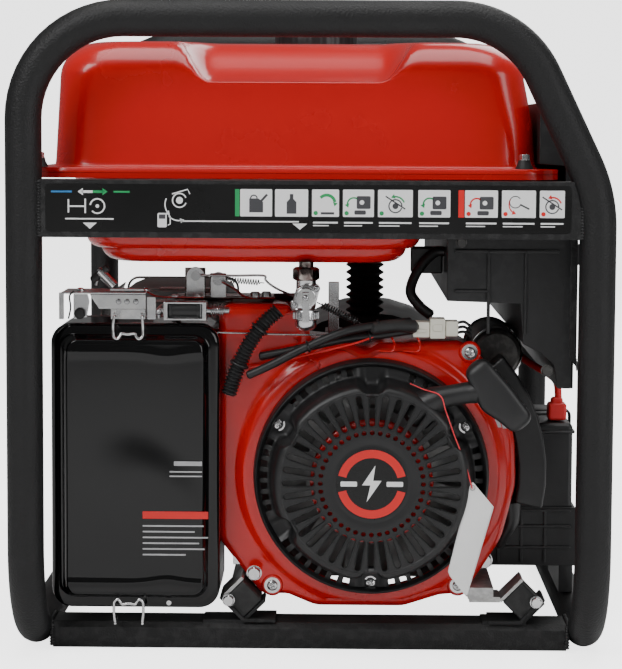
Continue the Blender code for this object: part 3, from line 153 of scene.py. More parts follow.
def grain_group():
    """Height of a pebbled skin: rounded cells with finer noise over them."""
    group, start, end = new_group("pebble_grain", {"Scale": 600.0, "Fine": 0.4},
            {"Height": "NodeSocketFloat"})
    place = add(group, "ShaderNodeTexCoord").outputs["Object"]
    cell = add(group, "ShaderNodeTexVoronoi", {"Vector": place, "Scale": start.outputs["Scale"]},
               feature="SMOOTH_F1").outputs["Distance"]
    fine = add(group, "ShaderNodeTexNoise", {"Vector": place, "Scale": start.outputs["Scale"], "Detail": 2.0})
    both = add(group, "ShaderNodeMath", {0: multiply(group, fine.outputs[0], start.outputs["Fine"]), 1: cell},
                operation="ADD")
    group.links.new(both.outputs[0], end.inputs["Height"])
    return group


def gloss_group():
    """Roughness that wanders between two values, with faint handling smears."""
    group, start, end = new_group("uneven_gloss", {"Low": 0.3, "High": 0.5, "Scale": 14.0},
            {"Roughness": "NodeSocketFloat"})
    cloud = ramp(group, noise(group, start.outputs["Scale"], 6.0), 0.3, 0.7)
    gap = add(group, "ShaderNodeMath", {0: start.outputs["High"], 1: start.outputs["Low"]},
              operation="SUBTRACT")
    sum_ = add(group, "ShaderNodeMath", {0: multiply(group, cloud, gap.outputs[0]), 1: start.outputs["Low"]},
                operation="ADD")
    group.links.new(sum_.outputs[0], end.inputs["Roughness"])
    return group


UNEVEN, WORN, DUST, GRAIN, GLOSS = uneven_group(), worn_group(), dust_group(), grain_group(), gloss_group()


def colour4(colour):
    """A colour with full alpha."""
    return (*colour, 1.0)


def finish(name, colour, shade, gloss, grain=(600.0, 0.4), depth=0.0, metallic=0.0, coat=0.0, bare=None,
           wear=0.0, dust=0.0, patch=9.0, sheen=0.0, brushed=None, shine=0.5):
    """A material: two-shade colour, worn edges, dust, wandering gloss and a pebbled or brushed bump."""
    material = bpy.data.materials.new(name)
    material.use_nodes = True
    tree = material.node_tree
    shader = tree.nodes["Principled BSDF"]

    def placed(kind, links):
        """A shared shader group set into this material, with sockets linked or set."""
        node = tree.nodes.new("ShaderNodeGroup")
        node.node_tree = kind
        for socket, value in links.items():
            if isinstance(value, bpy.types.NodeSocket):
                tree.links.new(value, node.inputs[socket])
            else:
                node.inputs[socket].default_value = value
        return node

    tone = placed(UNEVEN, {"Colour": colour4(colour), "Shade": colour4(shade), "Scale": patch}).outputs[0]
    if wear:
        tone = placed(WORN, {"Colour": tone, "Bare": colour4(bare or (0.3, 0.3, 0.3)),
                "Amount": wear}).outputs[0]
    if dust:
        tone = placed(DUST, {"Colour": tone, "Amount": dust}).outputs[0]
    tree.links.new(tone, shader.inputs["Base Color"])
    rough = placed(GLOSS, {"Low": gloss[0], "High": gloss[1]}).outputs[0]
    tree.links.new(rough, shader.inputs["Roughness"])
    if depth:
        if brushed:
            height = noise(tree, grain[0], 3.0, brushed)
        else:
            height = placed(GRAIN, {"Scale": grain[0], "Fine": grain[1]}).outputs[0]
        bump = add(tree, "ShaderNodeBump", {"Height": height, "Distance": depth, "Strength": 1.0})
        tree.links.new(bump.outputs[0], shader.inputs["Normal"])
    shader.inputs["Metallic"].default_value = metallic
    shader.inputs["Coat Weight"].default_value = coat
    shader.inputs["Coat Roughness"].default_value = 0.06
    shader.inputs["Sheen Weight"].default_value = sheen
    shader.inputs["Specular IOR Level"].default_value = shine
    return material


FINISH = {"frame_paint": finish("frame_powder_coat", (0.007, 0.007, 0.0073), (0.009, 0.009, 0.0093),
        (0.46, 0.6), (620.0, 0.5), 0.00045, bare=(0.06, 0.06, 0.06), wear=0.25, dust=0.04, shine=0.32),
           "red_paint": finish("red_enamel", (0.56, 0.0035, 0.002), (0.52, 0.0032, 0.0018), (0.25, 0.28),
        (260.0, 0.2), 0.00002, coat=0.35, patch=3.0), "black_plastic": finish("moulded_black",
        (0.0105, 0.0105, 0.011), (0.013, 0.013, 0.0135), (0.36, 0.44), (1500.0, 0.4), 0.00006,
        bare=(0.05, 0.05, 0.05), wear=0.2, dust=0.01, patch=60.0, shine=0.42),
          "gloss_black": finish("gloss_black_enamel", (0.002, 0.002, 0.0022), (0.0028, 0.0028, 0.003),
        (0.07, 0.12), (240.0, 0.2), 0.00001, coat=0.25, shine=0.3),
          "panel_paint": finish("satin_panel_black", (0.0085, 0.0085, 0.009), (0.0105, 0.0105, 0.011),
        (0.32, 0.42), (900.0, 0.3), 0.00008, bare=(0.08, 0.08, 0.08), wear=0.15, shine=0.3),
          "rubber": finish("black_rubber", (0.008, 0.008, 0.008), (0.011, 0.011, 0.011), (0.5, 0.66),
        (800.0, 0.5), 0.0001, dust=0.12, bare=(0.06, 0.06, 0.06), wear=0.3),
          "zinc": finish("bright_zinc", (0.7, 0.7, 0.7), (0.62, 0.62, 0.63), (0.2, 0.28), (120.0, 0.3),
         0.00001, metallic=1.0, patch=45.0, brushed=(1.0, 6.0, 6.0), bare=(0.85, 0.85, 0.83), wear=0.5),
           "dark_zinc": finish("yellowed_zinc", (0.2, 0.16, 0.15), (0.13, 0.09, 0.085), (0.2, 0.3),
        (120.0, 0.3), 0.00001, metallic=1.0, patch=30.0, brushed=(1.0, 6.0, 6.0), bare=(0.6, 0.55, 0.5),
        wear=0.6), "cast_alloy": finish("cast_aluminium", (0.5, 0.5, 0.49), (0.38, 0.38, 0.38), (0.36, 0.55),
         (420.0, 0.7), 0.0003, metallic=0.9, patch=25.0, bare=(0.75, 0.75, 0.74), wear=0.5, dust=0.08),
           "steel": finish("turned_steel", (0.52, 0.52, 0.52), (0.4, 0.4, 0.41), (0.2, 0.34), (150.0, 0.4),
         0.00005, metallic=1.0, patch=30.0, brushed=(8.0, 1.0, 8.0)),
          "dark_steel": finish("heat_dulled_steel", (0.055, 0.054, 0.053), (0.085, 0.082, 0.078), (0.4, 0.56),
         (500.0, 0.5), 0.00018, metallic=0.3, bare=(0.25, 0.24, 0.23), wear=0.4, dust=0.1),
          "winding_steel": finish("laminated_steel", (0.23, 0.17, 0.12), (0.13, 0.12, 0.11), (0.35, 0.5),
        (900.0, 0.4), 0.0002, metallic=0.7, brushed=(1.0, 30.0, 1.0)),
          "white_nylon": finish("natural_nylon", (0.78, 0.76, 0.66), (0.7, 0.68, 0.58), (0.34, 0.46),
        (700.0, 0.4), 0.00005, patch=40.0), "foam": finish("oiled_foam", (0.2, 0.15, 0.08),
        (0.12, 0.09, 0.05), (0.75, 0.9), (900.0, 0.8), 0.0008),
          "white_card": finish("white_card", (0.8, 0.8, 0.79), (0.72, 0.72, 0.72), (0.42, 0.55),
        (1200.0, 0.5), 0.00004, patch=14.0), "red_string": finish("red_cord_fibre", (0.78, 0.03, 0.045),
        (0.6, 0.02, 0.03), (0.6, 0.8), (2600.0, 0.5), 0.0002, patch=220.0, sheen=0.3), }
INK = {"label_black": finish("label_film", (0.006, 0.006, 0.006), (0.009, 0.009, 0.009), (0.24, 0.32),
        (900.0, 0.3), 0.00002, coat=0.05, shine=0.3), "mark_white": finish("white_ink", (0.8, 0.8, 0.8),
        (0.74, 0.74, 0.74), (0.3, 0.4), (900.0, 0.3), 0.00002),
       "mark_green": finish("green_ink", (0.015, 0.3, 0.09), (0.012, 0.25, 0.08), (0.3, 0.4), (900.0, 0.3),
         0.00002), "mark_red": finish("red_ink", (0.66, 0.014, 0.012), (0.56, 0.012, 0.01), (0.3, 0.4),
        (900.0, 0.3), 0.00002), "mark_grey": finish("grey_ink", (0.055, 0.055, 0.06), (0.04, 0.04, 0.045),
        (0.3, 0.4), (900.0, 0.3), 0.00002), "mark_silver": finish("silver_film", (0.46, 0.46, 0.47),
        (0.36, 0.36, 0.37), (0.3, 0.42), (600.0, 0.4), 0.00004, metallic=0.4, patch=60.0),
       "mark_blue": finish("blue_ink", (0.03, 0.18, 0.42), (0.025, 0.15, 0.36), (0.3, 0.4), (900.0, 0.3),
         0.00002), "red_boot": finish("red_vinyl", (0.62, 0.012, 0.012), (0.5, 0.01, 0.01), (0.32, 0.45),
        (700.0, 0.4), 0.00006, patch=40.0), "spring_steel": finish("black_spring_steel", (0.09, 0.09, 0.09),
        (0.06, 0.06, 0.06), (0.28, 0.4), (400.0, 0.4), 0.00004, metallic=0.8),
       "dial_glass": finish("dial_white", (0.72, 0.72, 0.7), (0.68, 0.68, 0.66), (0.1, 0.16), (900.0, 0.3),
         0.00001, coat=1.0), }


# ---- surfaces ----
def grid_faces(rows, columns, wrap_rows=False, wrap_columns=True, keep=None):
    """The quads of a grid of points numbered row by row; wrap joins the last row or column to the first."""
    row = np.arange(rows if wrap_rows else rows - 1)[:, None]
    column = np.arange(columns if wrap_columns else columns - 1)[None, :]
    after, right = (row + 1) % rows, (column + 1) % columns
    quads = np.stack([row * columns + column, row * columns + right, after * columns + right,
            after * columns + column], -1)
    return quads[keep] if keep is not None else quads.reshape(-1, 4)


def unit(vector):
    """A vector, or each row of an array, made one long."""
    vector = np.asarray(vector, float)
    return vector / np.maximum(np.linalg.norm(vector, axis=-1, keepdims=True), 1e-12)


def carried_frames(path, closed=False):
    """Two directions across a path at each point, turned as little as possible on the way."""
    ahead = np.roll(path, -1, 0) - np.roll(path, 1, 0)
    if not closed:
        ahead[0], ahead[-1] = path[1] - path[0], path[-1] - path[-2]
    ahead = unit(ahead)
    start = Z_AXIS if abs(ahead[0] @ Z_AXIS) < 0.9 else X_AXIS
    side = [unit(np.cross(ahead[0], start))]
    for direction in ahead[1:]:
        side.append(unit(side[-1] - direction * (side[-1] @ direction)))
    side = np.array(side)
    return side, np.cross(ahead, side)


def tube(path, radius, sides=12, closed=False, flat=1.0, round_ends=True):
    """A circle carried along a path; radius may change along it, and flat squeezes it across."""
    path = np.asarray(path, float)
    radius = np.broadcast_to(np.asarray(radius, float), (len(path),)).copy()
    if not closed and round_ends:
        way = unit(np.stack([path[0] - path[1], path[-1] - path[-2]]))
        path = np.concatenate([[path[0] + way[0] * radius[0] * 0.35], path,
                [path[-1] + way[1] * radius[-1] * 0.35]])
        radius = np.concatenate([[radius[0] * 0.6], radius, [radius[-1] * 0.6]])
    side, up = carried_frames(path, closed)
    angle = np.arange(sides) * TAU / sides
    ring = (side[:, None] * np.cos(angle)[None, :, None] + up[:, None] * np.sin(angle)[None, :, None] * flat)
    points = (path[:, None] + ring * radius[:, None, None]).reshape(-1, 3)
    faces = grid_faces(len(path), sides, wrap_rows=closed).tolist()
    if not closed:
        faces += [list(range(sides))[::-1], list(range(len(points) - sides, len(points)))]
    return points, faces


def axes_across(axis):
    """Two directions square to an axis and to each other."""
    axis = unit(axis)
    start = Z_AXIS if abs(axis @ Z_AXIS) < 0.9 else X_AXIS
    first = unit(np.cross(start, axis))
    return first, np.cross(axis, first)


def lathe(profile, centre, axis, steps=32, shape=None):
    """A profile of (radius, height along the axis) turned about the axis; shape caps the radius by angle."""
    profile = np.asarray(profile, float)
    first, second = axes_across(axis)
    angle = np.arange(steps) * TAU / steps
    radius = np.broadcast_to(profile[:, :1], (len(profile), steps)).copy()
    if shape is not None:
        radius = np.minimum(radius, shape(angle)[None, :])
    points = (np.asarray(centre, float) + radius[..., None] * (np.cos(angle)[None, :, None] * first
            + np.sin(angle)[None, :, None] * second) + profile[:, 1][:, None, None] * unit(axis))
    faces = grid_faces(len(profile), steps).tolist()
    count = len(profile) * steps
    faces += [list(range(steps))[::-1], list(range(count - steps, count))]
    return points.reshape(-1, 3), faces


def hexagon(flat):
    """Distance from the middle to a hexagon's side by angle, for a width across flats."""
    return lambda angle: flat / 2 / np.cos((angle + math.pi / 6) % (math.pi / 3) - math.pi / 6)


def plate(outline, thickness, origin=(0, 0, 0), across=X_AXIS, up=Z_AXIS):
    """A flat outline given along two directions, thickened on the side that across x up points to."""
    outline = np.asarray(outline, float)
    normal = np.cross(across, up)
    flat = np.asarray(origin, float) + outline[:, :1] * across + outline[:, 1:] * up
    count = len(outline)
    points = np.concatenate([flat, flat + normal * thickness])
    here = np.arange(count)
    after = (here + 1) % count
    sides = np.stack([here, after, after + count, here + count], -1).tolist()
    return points, sides + [list(range(count))[::-1], list(range(count, 2 * count))]


def block(low, high):
    """A box from its lowest to its highest corner, for a bevel to round."""
    low, high = np.asarray(low, float), np.asarray(high, float)
    outline = [(low[0], low[2]), (high[0], low[2]), (high[0], high[2]), (low[0], high[2])]
    return plate(outline, high[1] - low[1], (0, high[1], 0))


def bent_path(points, radii, steps=6, closed=False):
    """Straight runs through the points, with an arc of each given radius at each inner corner."""
    points = [np.asarray(p, float) for p in points]
    if closed:
        points = [points[-1]] + points + [points[0]]
    path = [] if closed else [points[0]]
    for before, corner, after, radius in zip(points, points[1:], points[2:], radii):
        way_in, way_out = unit(corner - before), unit(after - corner)
        turn = math.acos(np.clip(way_in @ way_out, -1, 1))
        start = corner - way_in * radius * math.tan(turn / 2)
        inward = unit(way_out - way_in * (way_in @ way_out))
        angle = np.linspace(0, turn, steps + 1)[:, None]
        path.extend(start + inward * radius * (1 - np.cos(angle)) + way_in * radius * np.sin(angle))
    return np.array(path if closed else path + [points[-1]])


def smooth_path(points, spacing):
    """A Catmull-Rom curve through the points, sampled about every spacing."""
    points = np.asarray(points, float)
    ends = np.concatenate([[2 * points[0] - points[1]], points, [2 * points[-1] - points[-2]]])
    runs = []
    for p0, p1, p2, p3 in zip(ends, ends[1:], ends[2:], ends[3:]):
        t = np.arange(max(2, round(np.linalg.norm(p2 - p1) / spacing)))[:, None]
        t = t / len(t)
        runs.append(0.5 * (2 * p1 + (p2 - p0) * t + (2 * p0 - 5 * p1 + 4 * p2 - p3) * t ** 2
                + (3 * p1 - p0 - 3 * p2 + p3) * t ** 3))
    return np.concatenate(runs + [points[-1:]])


def round_rectangle(low_x, low_z, high_x, high_z, radius, steps=6):
    """An outline with round corners, anticlockwise from the right side."""
    angle = np.linspace(0, math.pi / 2, steps + 1)
    runs = [np.stack([x + radius * np.cos(angle + turn), z + radius * np.sin(angle + turn)], -1) for x, z,
             turn in ((high_x - radius, high_z - radius, 0.0), (low_x + radius, high_z - radius, TAU / 4),
            (low_x + radius, low_z + radius, TAU / 2), (high_x - radius, low_z + radius, 3 * TAU / 4))]
    return np.concatenate(runs)


def circle(x, z, radius, steps=24, start=0.0, turn=TAU):
    """Points (x, z) of a circle, or of an arc of it."""
    angle = start + np.linspace(0, turn, steps, endpoint=turn < TAU)
    return np.stack([x + radius * np.cos(angle), z + radius * np.sin(angle)], -1)


def soften(item, width, segments=2, angle=35.0):
    """Round an object's sharp edges."""
    bevel = item.modifiers.new("round_edges", "BEVEL")
    bevel.width = width
    bevel.segments = segments
    bevel.limit_method = "ANGLE"
    bevel.angle_limit = math.radians(angle)
    bevel.harden_normals = True
    return item


def piece(name, shapes, slot, body="root", ink=None, bevel=0.0, segments=2, sharp=38.0, replaces=(),
          thickness=0.0, outward=True):
    """One object from one or several (points, faces), with its finish, body and the nodes it stands for."""
    shapes = [shapes] if isinstance(shapes, tuple) else shapes
    points, faces, count = [], [], 0
    for some_points, some_faces in shapes:
        points.append(np.asarray(some_points, float).reshape(-1, 3))
        faces += [[i + count for i in face] for face in some_faces]
        count += len(points[-1])
    mesh = bpy.data.meshes.new(name)
    mesh.from_pydata(np.concatenate(points).tolist(), [], faces)
    shape = bmesh.new()
    shape.from_mesh(mesh)
    bmesh.ops.remove_doubles(shape, verts=shape.verts, dist=1e-6)
    bmesh.ops.dissolve_degenerate(shape, edges=shape.edges, dist=1e-6)
    if outward:
        bmesh.ops.recalc_face_normals(shape, faces=shape.faces)
        middle = sum((v.co for v in shape.verts), shape.verts[:][0].co * 0) / len(shape.verts)
        if sum((f.calc_center_median() - middle).dot(f.normal) * f.calc_area() for f in shape.faces) < 0:
            bmesh.ops.reverse_faces(shape, faces=shape.faces)
    shape.to_mesh(mesh)
    shape.free()
    mesh.shade_smooth()
    mesh.set_sharp_from_angle(angle=math.radians(sharp))
    item = bpy.data.objects.new(name, mesh)
    bpy.context.scene.collection.objects.link(item)
    mesh.materials.append(INK[ink] if ink else FINISH[slot])
    if thickness:
        wall = item.modifiers.new("wall", "SOLIDIFY")
        wall.thickness = thickness
        wall.offset = -1.0
    if bevel:
        soften(item, bevel, segments)
    if body:
        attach(item, body)
    if replaces:
        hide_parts(*replaces)
    return item


def softened(node, slot, body="root", bevel=0.0015, segments=2, ink=None):
    """A copy of a node's mesh, merged and with its flat faces joined, whose edges are rounded."""
    mesh = NODES[node].data.copy()
    mesh.name = f"{node}_soft"
    shape = bmesh.new()
    shape.from_mesh(mesh)
    bmesh.ops.remove_doubles(shape, verts=shape.verts, dist=1e-6)
    bmesh.ops.dissolve_limit(shape, angle_limit=math.radians(1.0), verts=shape.verts, edges=shape.edges)
    shape.to_mesh(mesh)
    shape.free()
    mesh.shade_smooth()
    mesh.set_sharp_from_angle(angle=math.radians(30.0))
    item = bpy.data.objects.new(f"{node}_soft", mesh)
    bpy.context.scene.collection.objects.link(item)
    mesh.materials.clear()
    mesh.materials.append(INK[ink] if ink else FINISH[slot])
    if bevel:
        soften(item, bevel, segments, 32.0)
    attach(item, body)
    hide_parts(node)
    return item


def cross_screw(centre, axis, radius, washer=1.35, turn=0.4):
    """A pan-head screw with a cross recess and its washer: height falls as a dome, less the cross."""
    axis = unit(axis)
    first, second = axes_across(axis)
    angle = np.arange(40) * TAU / 40
    share = np.array([0.0, 0.12, 0.2, 0.3, 0.42, 0.55, 0.75, 0.9, 1.0, 1.0])[:, None]
    dome = radius * 0.62 * np.sqrt(np.clip(1 - (share * 0.93) ** 2, 0, 1))
    along = np.abs(np.cos(2 * (angle + turn)))[None, :] ** 6
    slot_depth = radius * 0.38 * along * np.clip((0.58 - share) * 6, 0, 1)
    slot_depth = np.where(share < 0.13, radius * 0.38, slot_depth)
    height = dome - slot_depth
    height[-1] = 0.0
    radial = share * radius
    points = (np.asarray(centre, float) + radial[..., None] * (np.cos(angle)[None, :, None] * first
            + np.sin(angle)[None, :, None] * second) + height[..., None] * axis)
    head = points.reshape(-1, 3), grid_faces(10, 40).tolist() + [list(range(360, 400))]
    ring = [(0.0, 0.0), (radius * washer, 0.0), (radius * washer, -radius * 0.16), (0.0, -radius * 0.16)]
    return [head, lathe(ring, centre, axis, 28)]


def hex_bolt(centre, axis, flat, height=None, washer=1.25):
    """A hexagon head with a chamfered top and its washer."""
    height = height or flat * 0.55
    radius = flat / 2
    profile = [(0.0, height), (radius * 0.92, height), (radius * 1.16, height * 0.84), (radius * 1.16, 0.0),
               (0.0, 0.0)]
    thin = flat * 0.1
    ring = [(0.0, 0.0), (radius * washer, 0.0), (radius * washer, -thin), (0.0, -thin)]
    return [lathe(profile, centre, axis, 36, hexagon(flat)), lathe(ring, centre, axis, 28)]


def flat_marks(name, outlines, y, ink, slot="panel_paint", lift=0.00012):
    """Thin printed shapes facing the recoil starter's end, each given as (x, z) points."""
    shapes = [plate(np.asarray(o, float), lift, (0, y, 0)) for o in outlines]
    return piece(name, shapes, slot, ink=ink)


# ---- floor, lights and camera ----
def studio():
    """Wide level pale floor, four soft lights and a pale surrounding that the floor runs out into."""
    side = np.linspace(-40.0, 40.0, 41)
    points = np.stack(np.broadcast_arrays(side[None, :], side[:, None], -0.0006), -1)
    mesh = bpy.data.meshes.new("floor")
    mesh.from_pydata(points.reshape(-1, 3).tolist(), [], grid_faces(len(side), len(side),
            wrap_columns=False).tolist())
    mesh.shade_smooth()
    floor = bpy.data.objects.new("floor", mesh)
    bpy.context.scene.collection.objects.link(floor)
    mesh.materials.append(finish("pale_floor", (0.9, 0.9, 0.9), (0.88, 0.88, 0.88), (0.75, 0.85)))
    tree = mesh.materials[0].node_tree
    seen = add(tree, "ShaderNodeLightPath").outputs["Is Camera Ray"]
    shader = next(node for node in tree.nodes if node.type == "BSDF_PRINCIPLED")
    shader.inputs["Emission Color"].default_value = (1.0, 1.0, 1.0, 1.0)
    tree.links.new(ramp(tree, seen, 0.0, 1.0, 0.0, 2.7), shader.inputs["Emission Strength"])
    for name, place, aim, size, power in (("key_light", (-1.7, -2.4, 2.3), (0.0, -0.2, 0.3), 1.5, 62.0),
            ("fill_light", (2.3, -2.3, 1.2), (0.05, -0.2, 0.3), 1.6, 30.0),
            ("top_light", (0.1, -0.5, 2.9), (0.0, 0.0, 0.3), 2.2, 62.0),
            ("back_light", (1.2, 2.4, 2.2), (0.0, 0.2, 0.3), 1.8, 34.0)):
        lamp = bpy.data.lights.new(name, "AREA")
        lamp.size = size
        lamp.energy = power
        light = bpy.data.objects.new(name, lamp)
        way = unit(np.subtract(aim, place))
        side, up = axes_across(-way)
        light.matrix_world = Matrix.Translation(place) @ Matrix(np.stack([side, up, -way],
                1).tolist()).to_4x4()
        bpy.context.scene.collection.objects.link(light)
    world = bpy.data.worlds.new("pale_room")
    world.use_nodes = True
    tree = world.node_tree
    background = tree.nodes["Background"]
    seen = add(tree, "ShaderNodeLightPath").outputs["Is Camera Ray"]
    tree.links.new(ramp(tree, seen, 0.0, 1.0, 0.16, 2.84), background.inputs["Strength"])
    background.inputs["Color"].default_value = (1.0, 1.0, 1.0, 1.0)
    bpy.context.scene.world = world


CAMERA_PLACE = (0.029, -2.289, 0.468)
CAMERA_TURN, CAMERA_DROP, CAMERA_ROLL = math.radians(0.82), math.radians(5.16), math.radians(0.29)


def set_camera():
    """The camera in front of the recoil starter's end, looking slightly down."""
    data = bpy.data.cameras.new("camera")
    data.lens = 121.5
    data.clip_start, data.clip_end = 0.05, 60.0
    camera = bpy.data.objects.new("camera", data)
    camera.matrix_world = (Matrix.Translation(CAMERA_PLACE) @ Matrix.Rotation(CAMERA_TURN, 4,
            "Z") @ Matrix.Rotation(TAU / 4 - CAMERA_DROP, 4, "X") @ Matrix.Rotation(CAMERA_ROLL, 4, "Z"))
    bpy.context.scene.collection.objects.link(camera)
    bpy.context.scene.camera = camera


studio()
set_camera()


# ---- tube frame ----
TUBE_RADIUS = 0.016
HOOP_Y, LEG_X, HOOP_TOP = 0.3315, 0.249, 0.564
SLOPE_TOP_X = LEG_X - (HOOP_TOP - 0.4136) * math.tan(math.radians(25.6))
BAR_FRONT = -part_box("near_tank_bar")[0].y


def tube_frame():
    """Both hoops and the two rails as one closed round tube along a bent loop."""
    corners, radii = [], []
    for side, order in ((-1, 1), (1, -1)):
        run = [((-LEG_X, side * HOOP_Y, TUBE_RADIUS), 0.085), ((-LEG_X, side * HOOP_Y, HOOP_TOP), 0.087),
               ((SLOPE_TOP_X, side * HOOP_Y, HOOP_TOP), 0.084), ((LEG_X, side * HOOP_Y, 0.4136), 0.13),
               ((LEG_X, side * HOOP_Y, TUBE_RADIUS), 0.085)][::order]
        corners += [point for point, _ in run]
        radii += [radius for _, radius in run]
    path = bent_path(corners, radii, 14, closed=True)
    piece("tube_frame", tube(path, TUBE_RADIUS, 40, closed=True), "frame_paint",
          replaces=("near_hoop", "far_hoop"))


def weld_bead(start, end, bulge, radius=0.0022, pitch=0.0026):
    """A rippled bead: a small tube along an arc whose radius rises and falls with each weld pool."""
    start, end = np.asarray(start, float), np.asarray(end, float)
    share = np.linspace(0, 1, max(16, int(np.linalg.norm(end - start) / pitch * 6)))
    path = start + (end - start) * share[:, None] + np.asarray(bulge) * np.sin(share * math.pi)[:, None]
    length = np.linalg.norm(end - start)
    return tube(path, radius * (1 + 0.18 * np.cos(TAU * share * length / pitch)), 8)


def frame_bars():
    """The tank bars and crossbars with rounded folds, and the beads that weld them to the tube."""
    for node in ("near_tank_bar", "far_tank_bar", "near_crossbar", "far_crossbar"):
        softened(node, "frame_paint", bevel=0.0012)
    beads = []
    for end in (-1, 1):
        for x in (-LEG_X, LEG_X):
            inner = x - math.copysign(TUBE_RADIUS * 0.86, x)
            front = end * (BAR_FRONT - 0.001)
            beads.append(weld_bead((inner, front, 0.3762), (inner, front, 0.424), (0, 0, 0)))
            rail = x - math.copysign(TUBE_RADIUS + 0.0004, x)
            for y in (end * 0.283, end * 0.238):
                beads.append(weld_bead((rail, y, 0.004), (rail, y, 0.0235), (0, 0, 0), 0.002))
            beads.append(weld_bead((x - math.copysign(0.015, x), end * 0.241, 0.0245),
                    (x - math.copysign(0.015, x), end * 0.28, 0.0245), (0, 0, 0), 0.002))
    piece("frame_weld_beads", beads, "frame_paint")
    tab = [block((-0.2335, 0.326, 0.3245), (-0.192, 0.331, 0.3555))]
    piece("muffler_stay_tab", tab, "frame_paint", bevel=0.001)
    gusset = plate([(0.2275, 0.27), (0.234, 0.262), (0.234, 0.377), (0.2275, 0.377)], 0.003, (0, -0.31, 0))
    piece("panel_stay_strip", [gusset], "frame_paint", bevel=0.0008)


tube_frame()
frame_bars()


# ---- picture label on the near tank bar ----
LABEL_Y = -BAR_FRONT - 0.0001
LABEL_FACE = LABEL_Y - 0.0003
SQUARE_LOW, SQUARE_HIGH = 0.394, 0.4175
SQUARES = ((-0.0606, 0.0276), (-0.0305, 0.0285), (0.0014, 0.0233), (0.0281, 0.0267), (0.0583, 0.03),
           (0.093, 0.0276), (0.1332, 0.0283), (0.165, 0.0292), (0.1976, 0.0215))


def stroke(points, width):
    """A line of one width through (x, z) points: each side is the line moved out by half the width."""
    points = np.asarray(points, float)
    ahead = np.gradient(points, axis=0)
    ahead = ahead / np.maximum(np.linalg.norm(ahead, axis=1, keepdims=True), 1e-9)
    normal = np.stack([-ahead[:, 1], ahead[:, 0]], -1) * width / 2
    return np.concatenate([points + normal, (points - normal)[::-1]])


def arrow(tip, way, length, width):
    """A triangle that ends at its tip."""
    tip, way = np.asarray(tip, float), np.asarray(way, float) / np.hypot(*way)
    across = np.array([-way[1], way[0]]) * width / 2
    return np.array([tip, tip - way * length + across, tip - way * length - across])


def curved_arrow(x, z, radius, start, turn, width=0.0013):
    """An arc with an arrow head at its far end."""
    end = start + turn
    tip = np.array([x + radius * math.cos(end), z + radius * math.sin(end)])
    way = np.array([-math.sin(end), math.cos(end)]) * math.copysign(1, turn)
    return [stroke(circle(x, z, radius, 14, start, turn * 0.86), width),
            arrow(tip + way * 0.0012, way, 0.0034, 0.0042)]


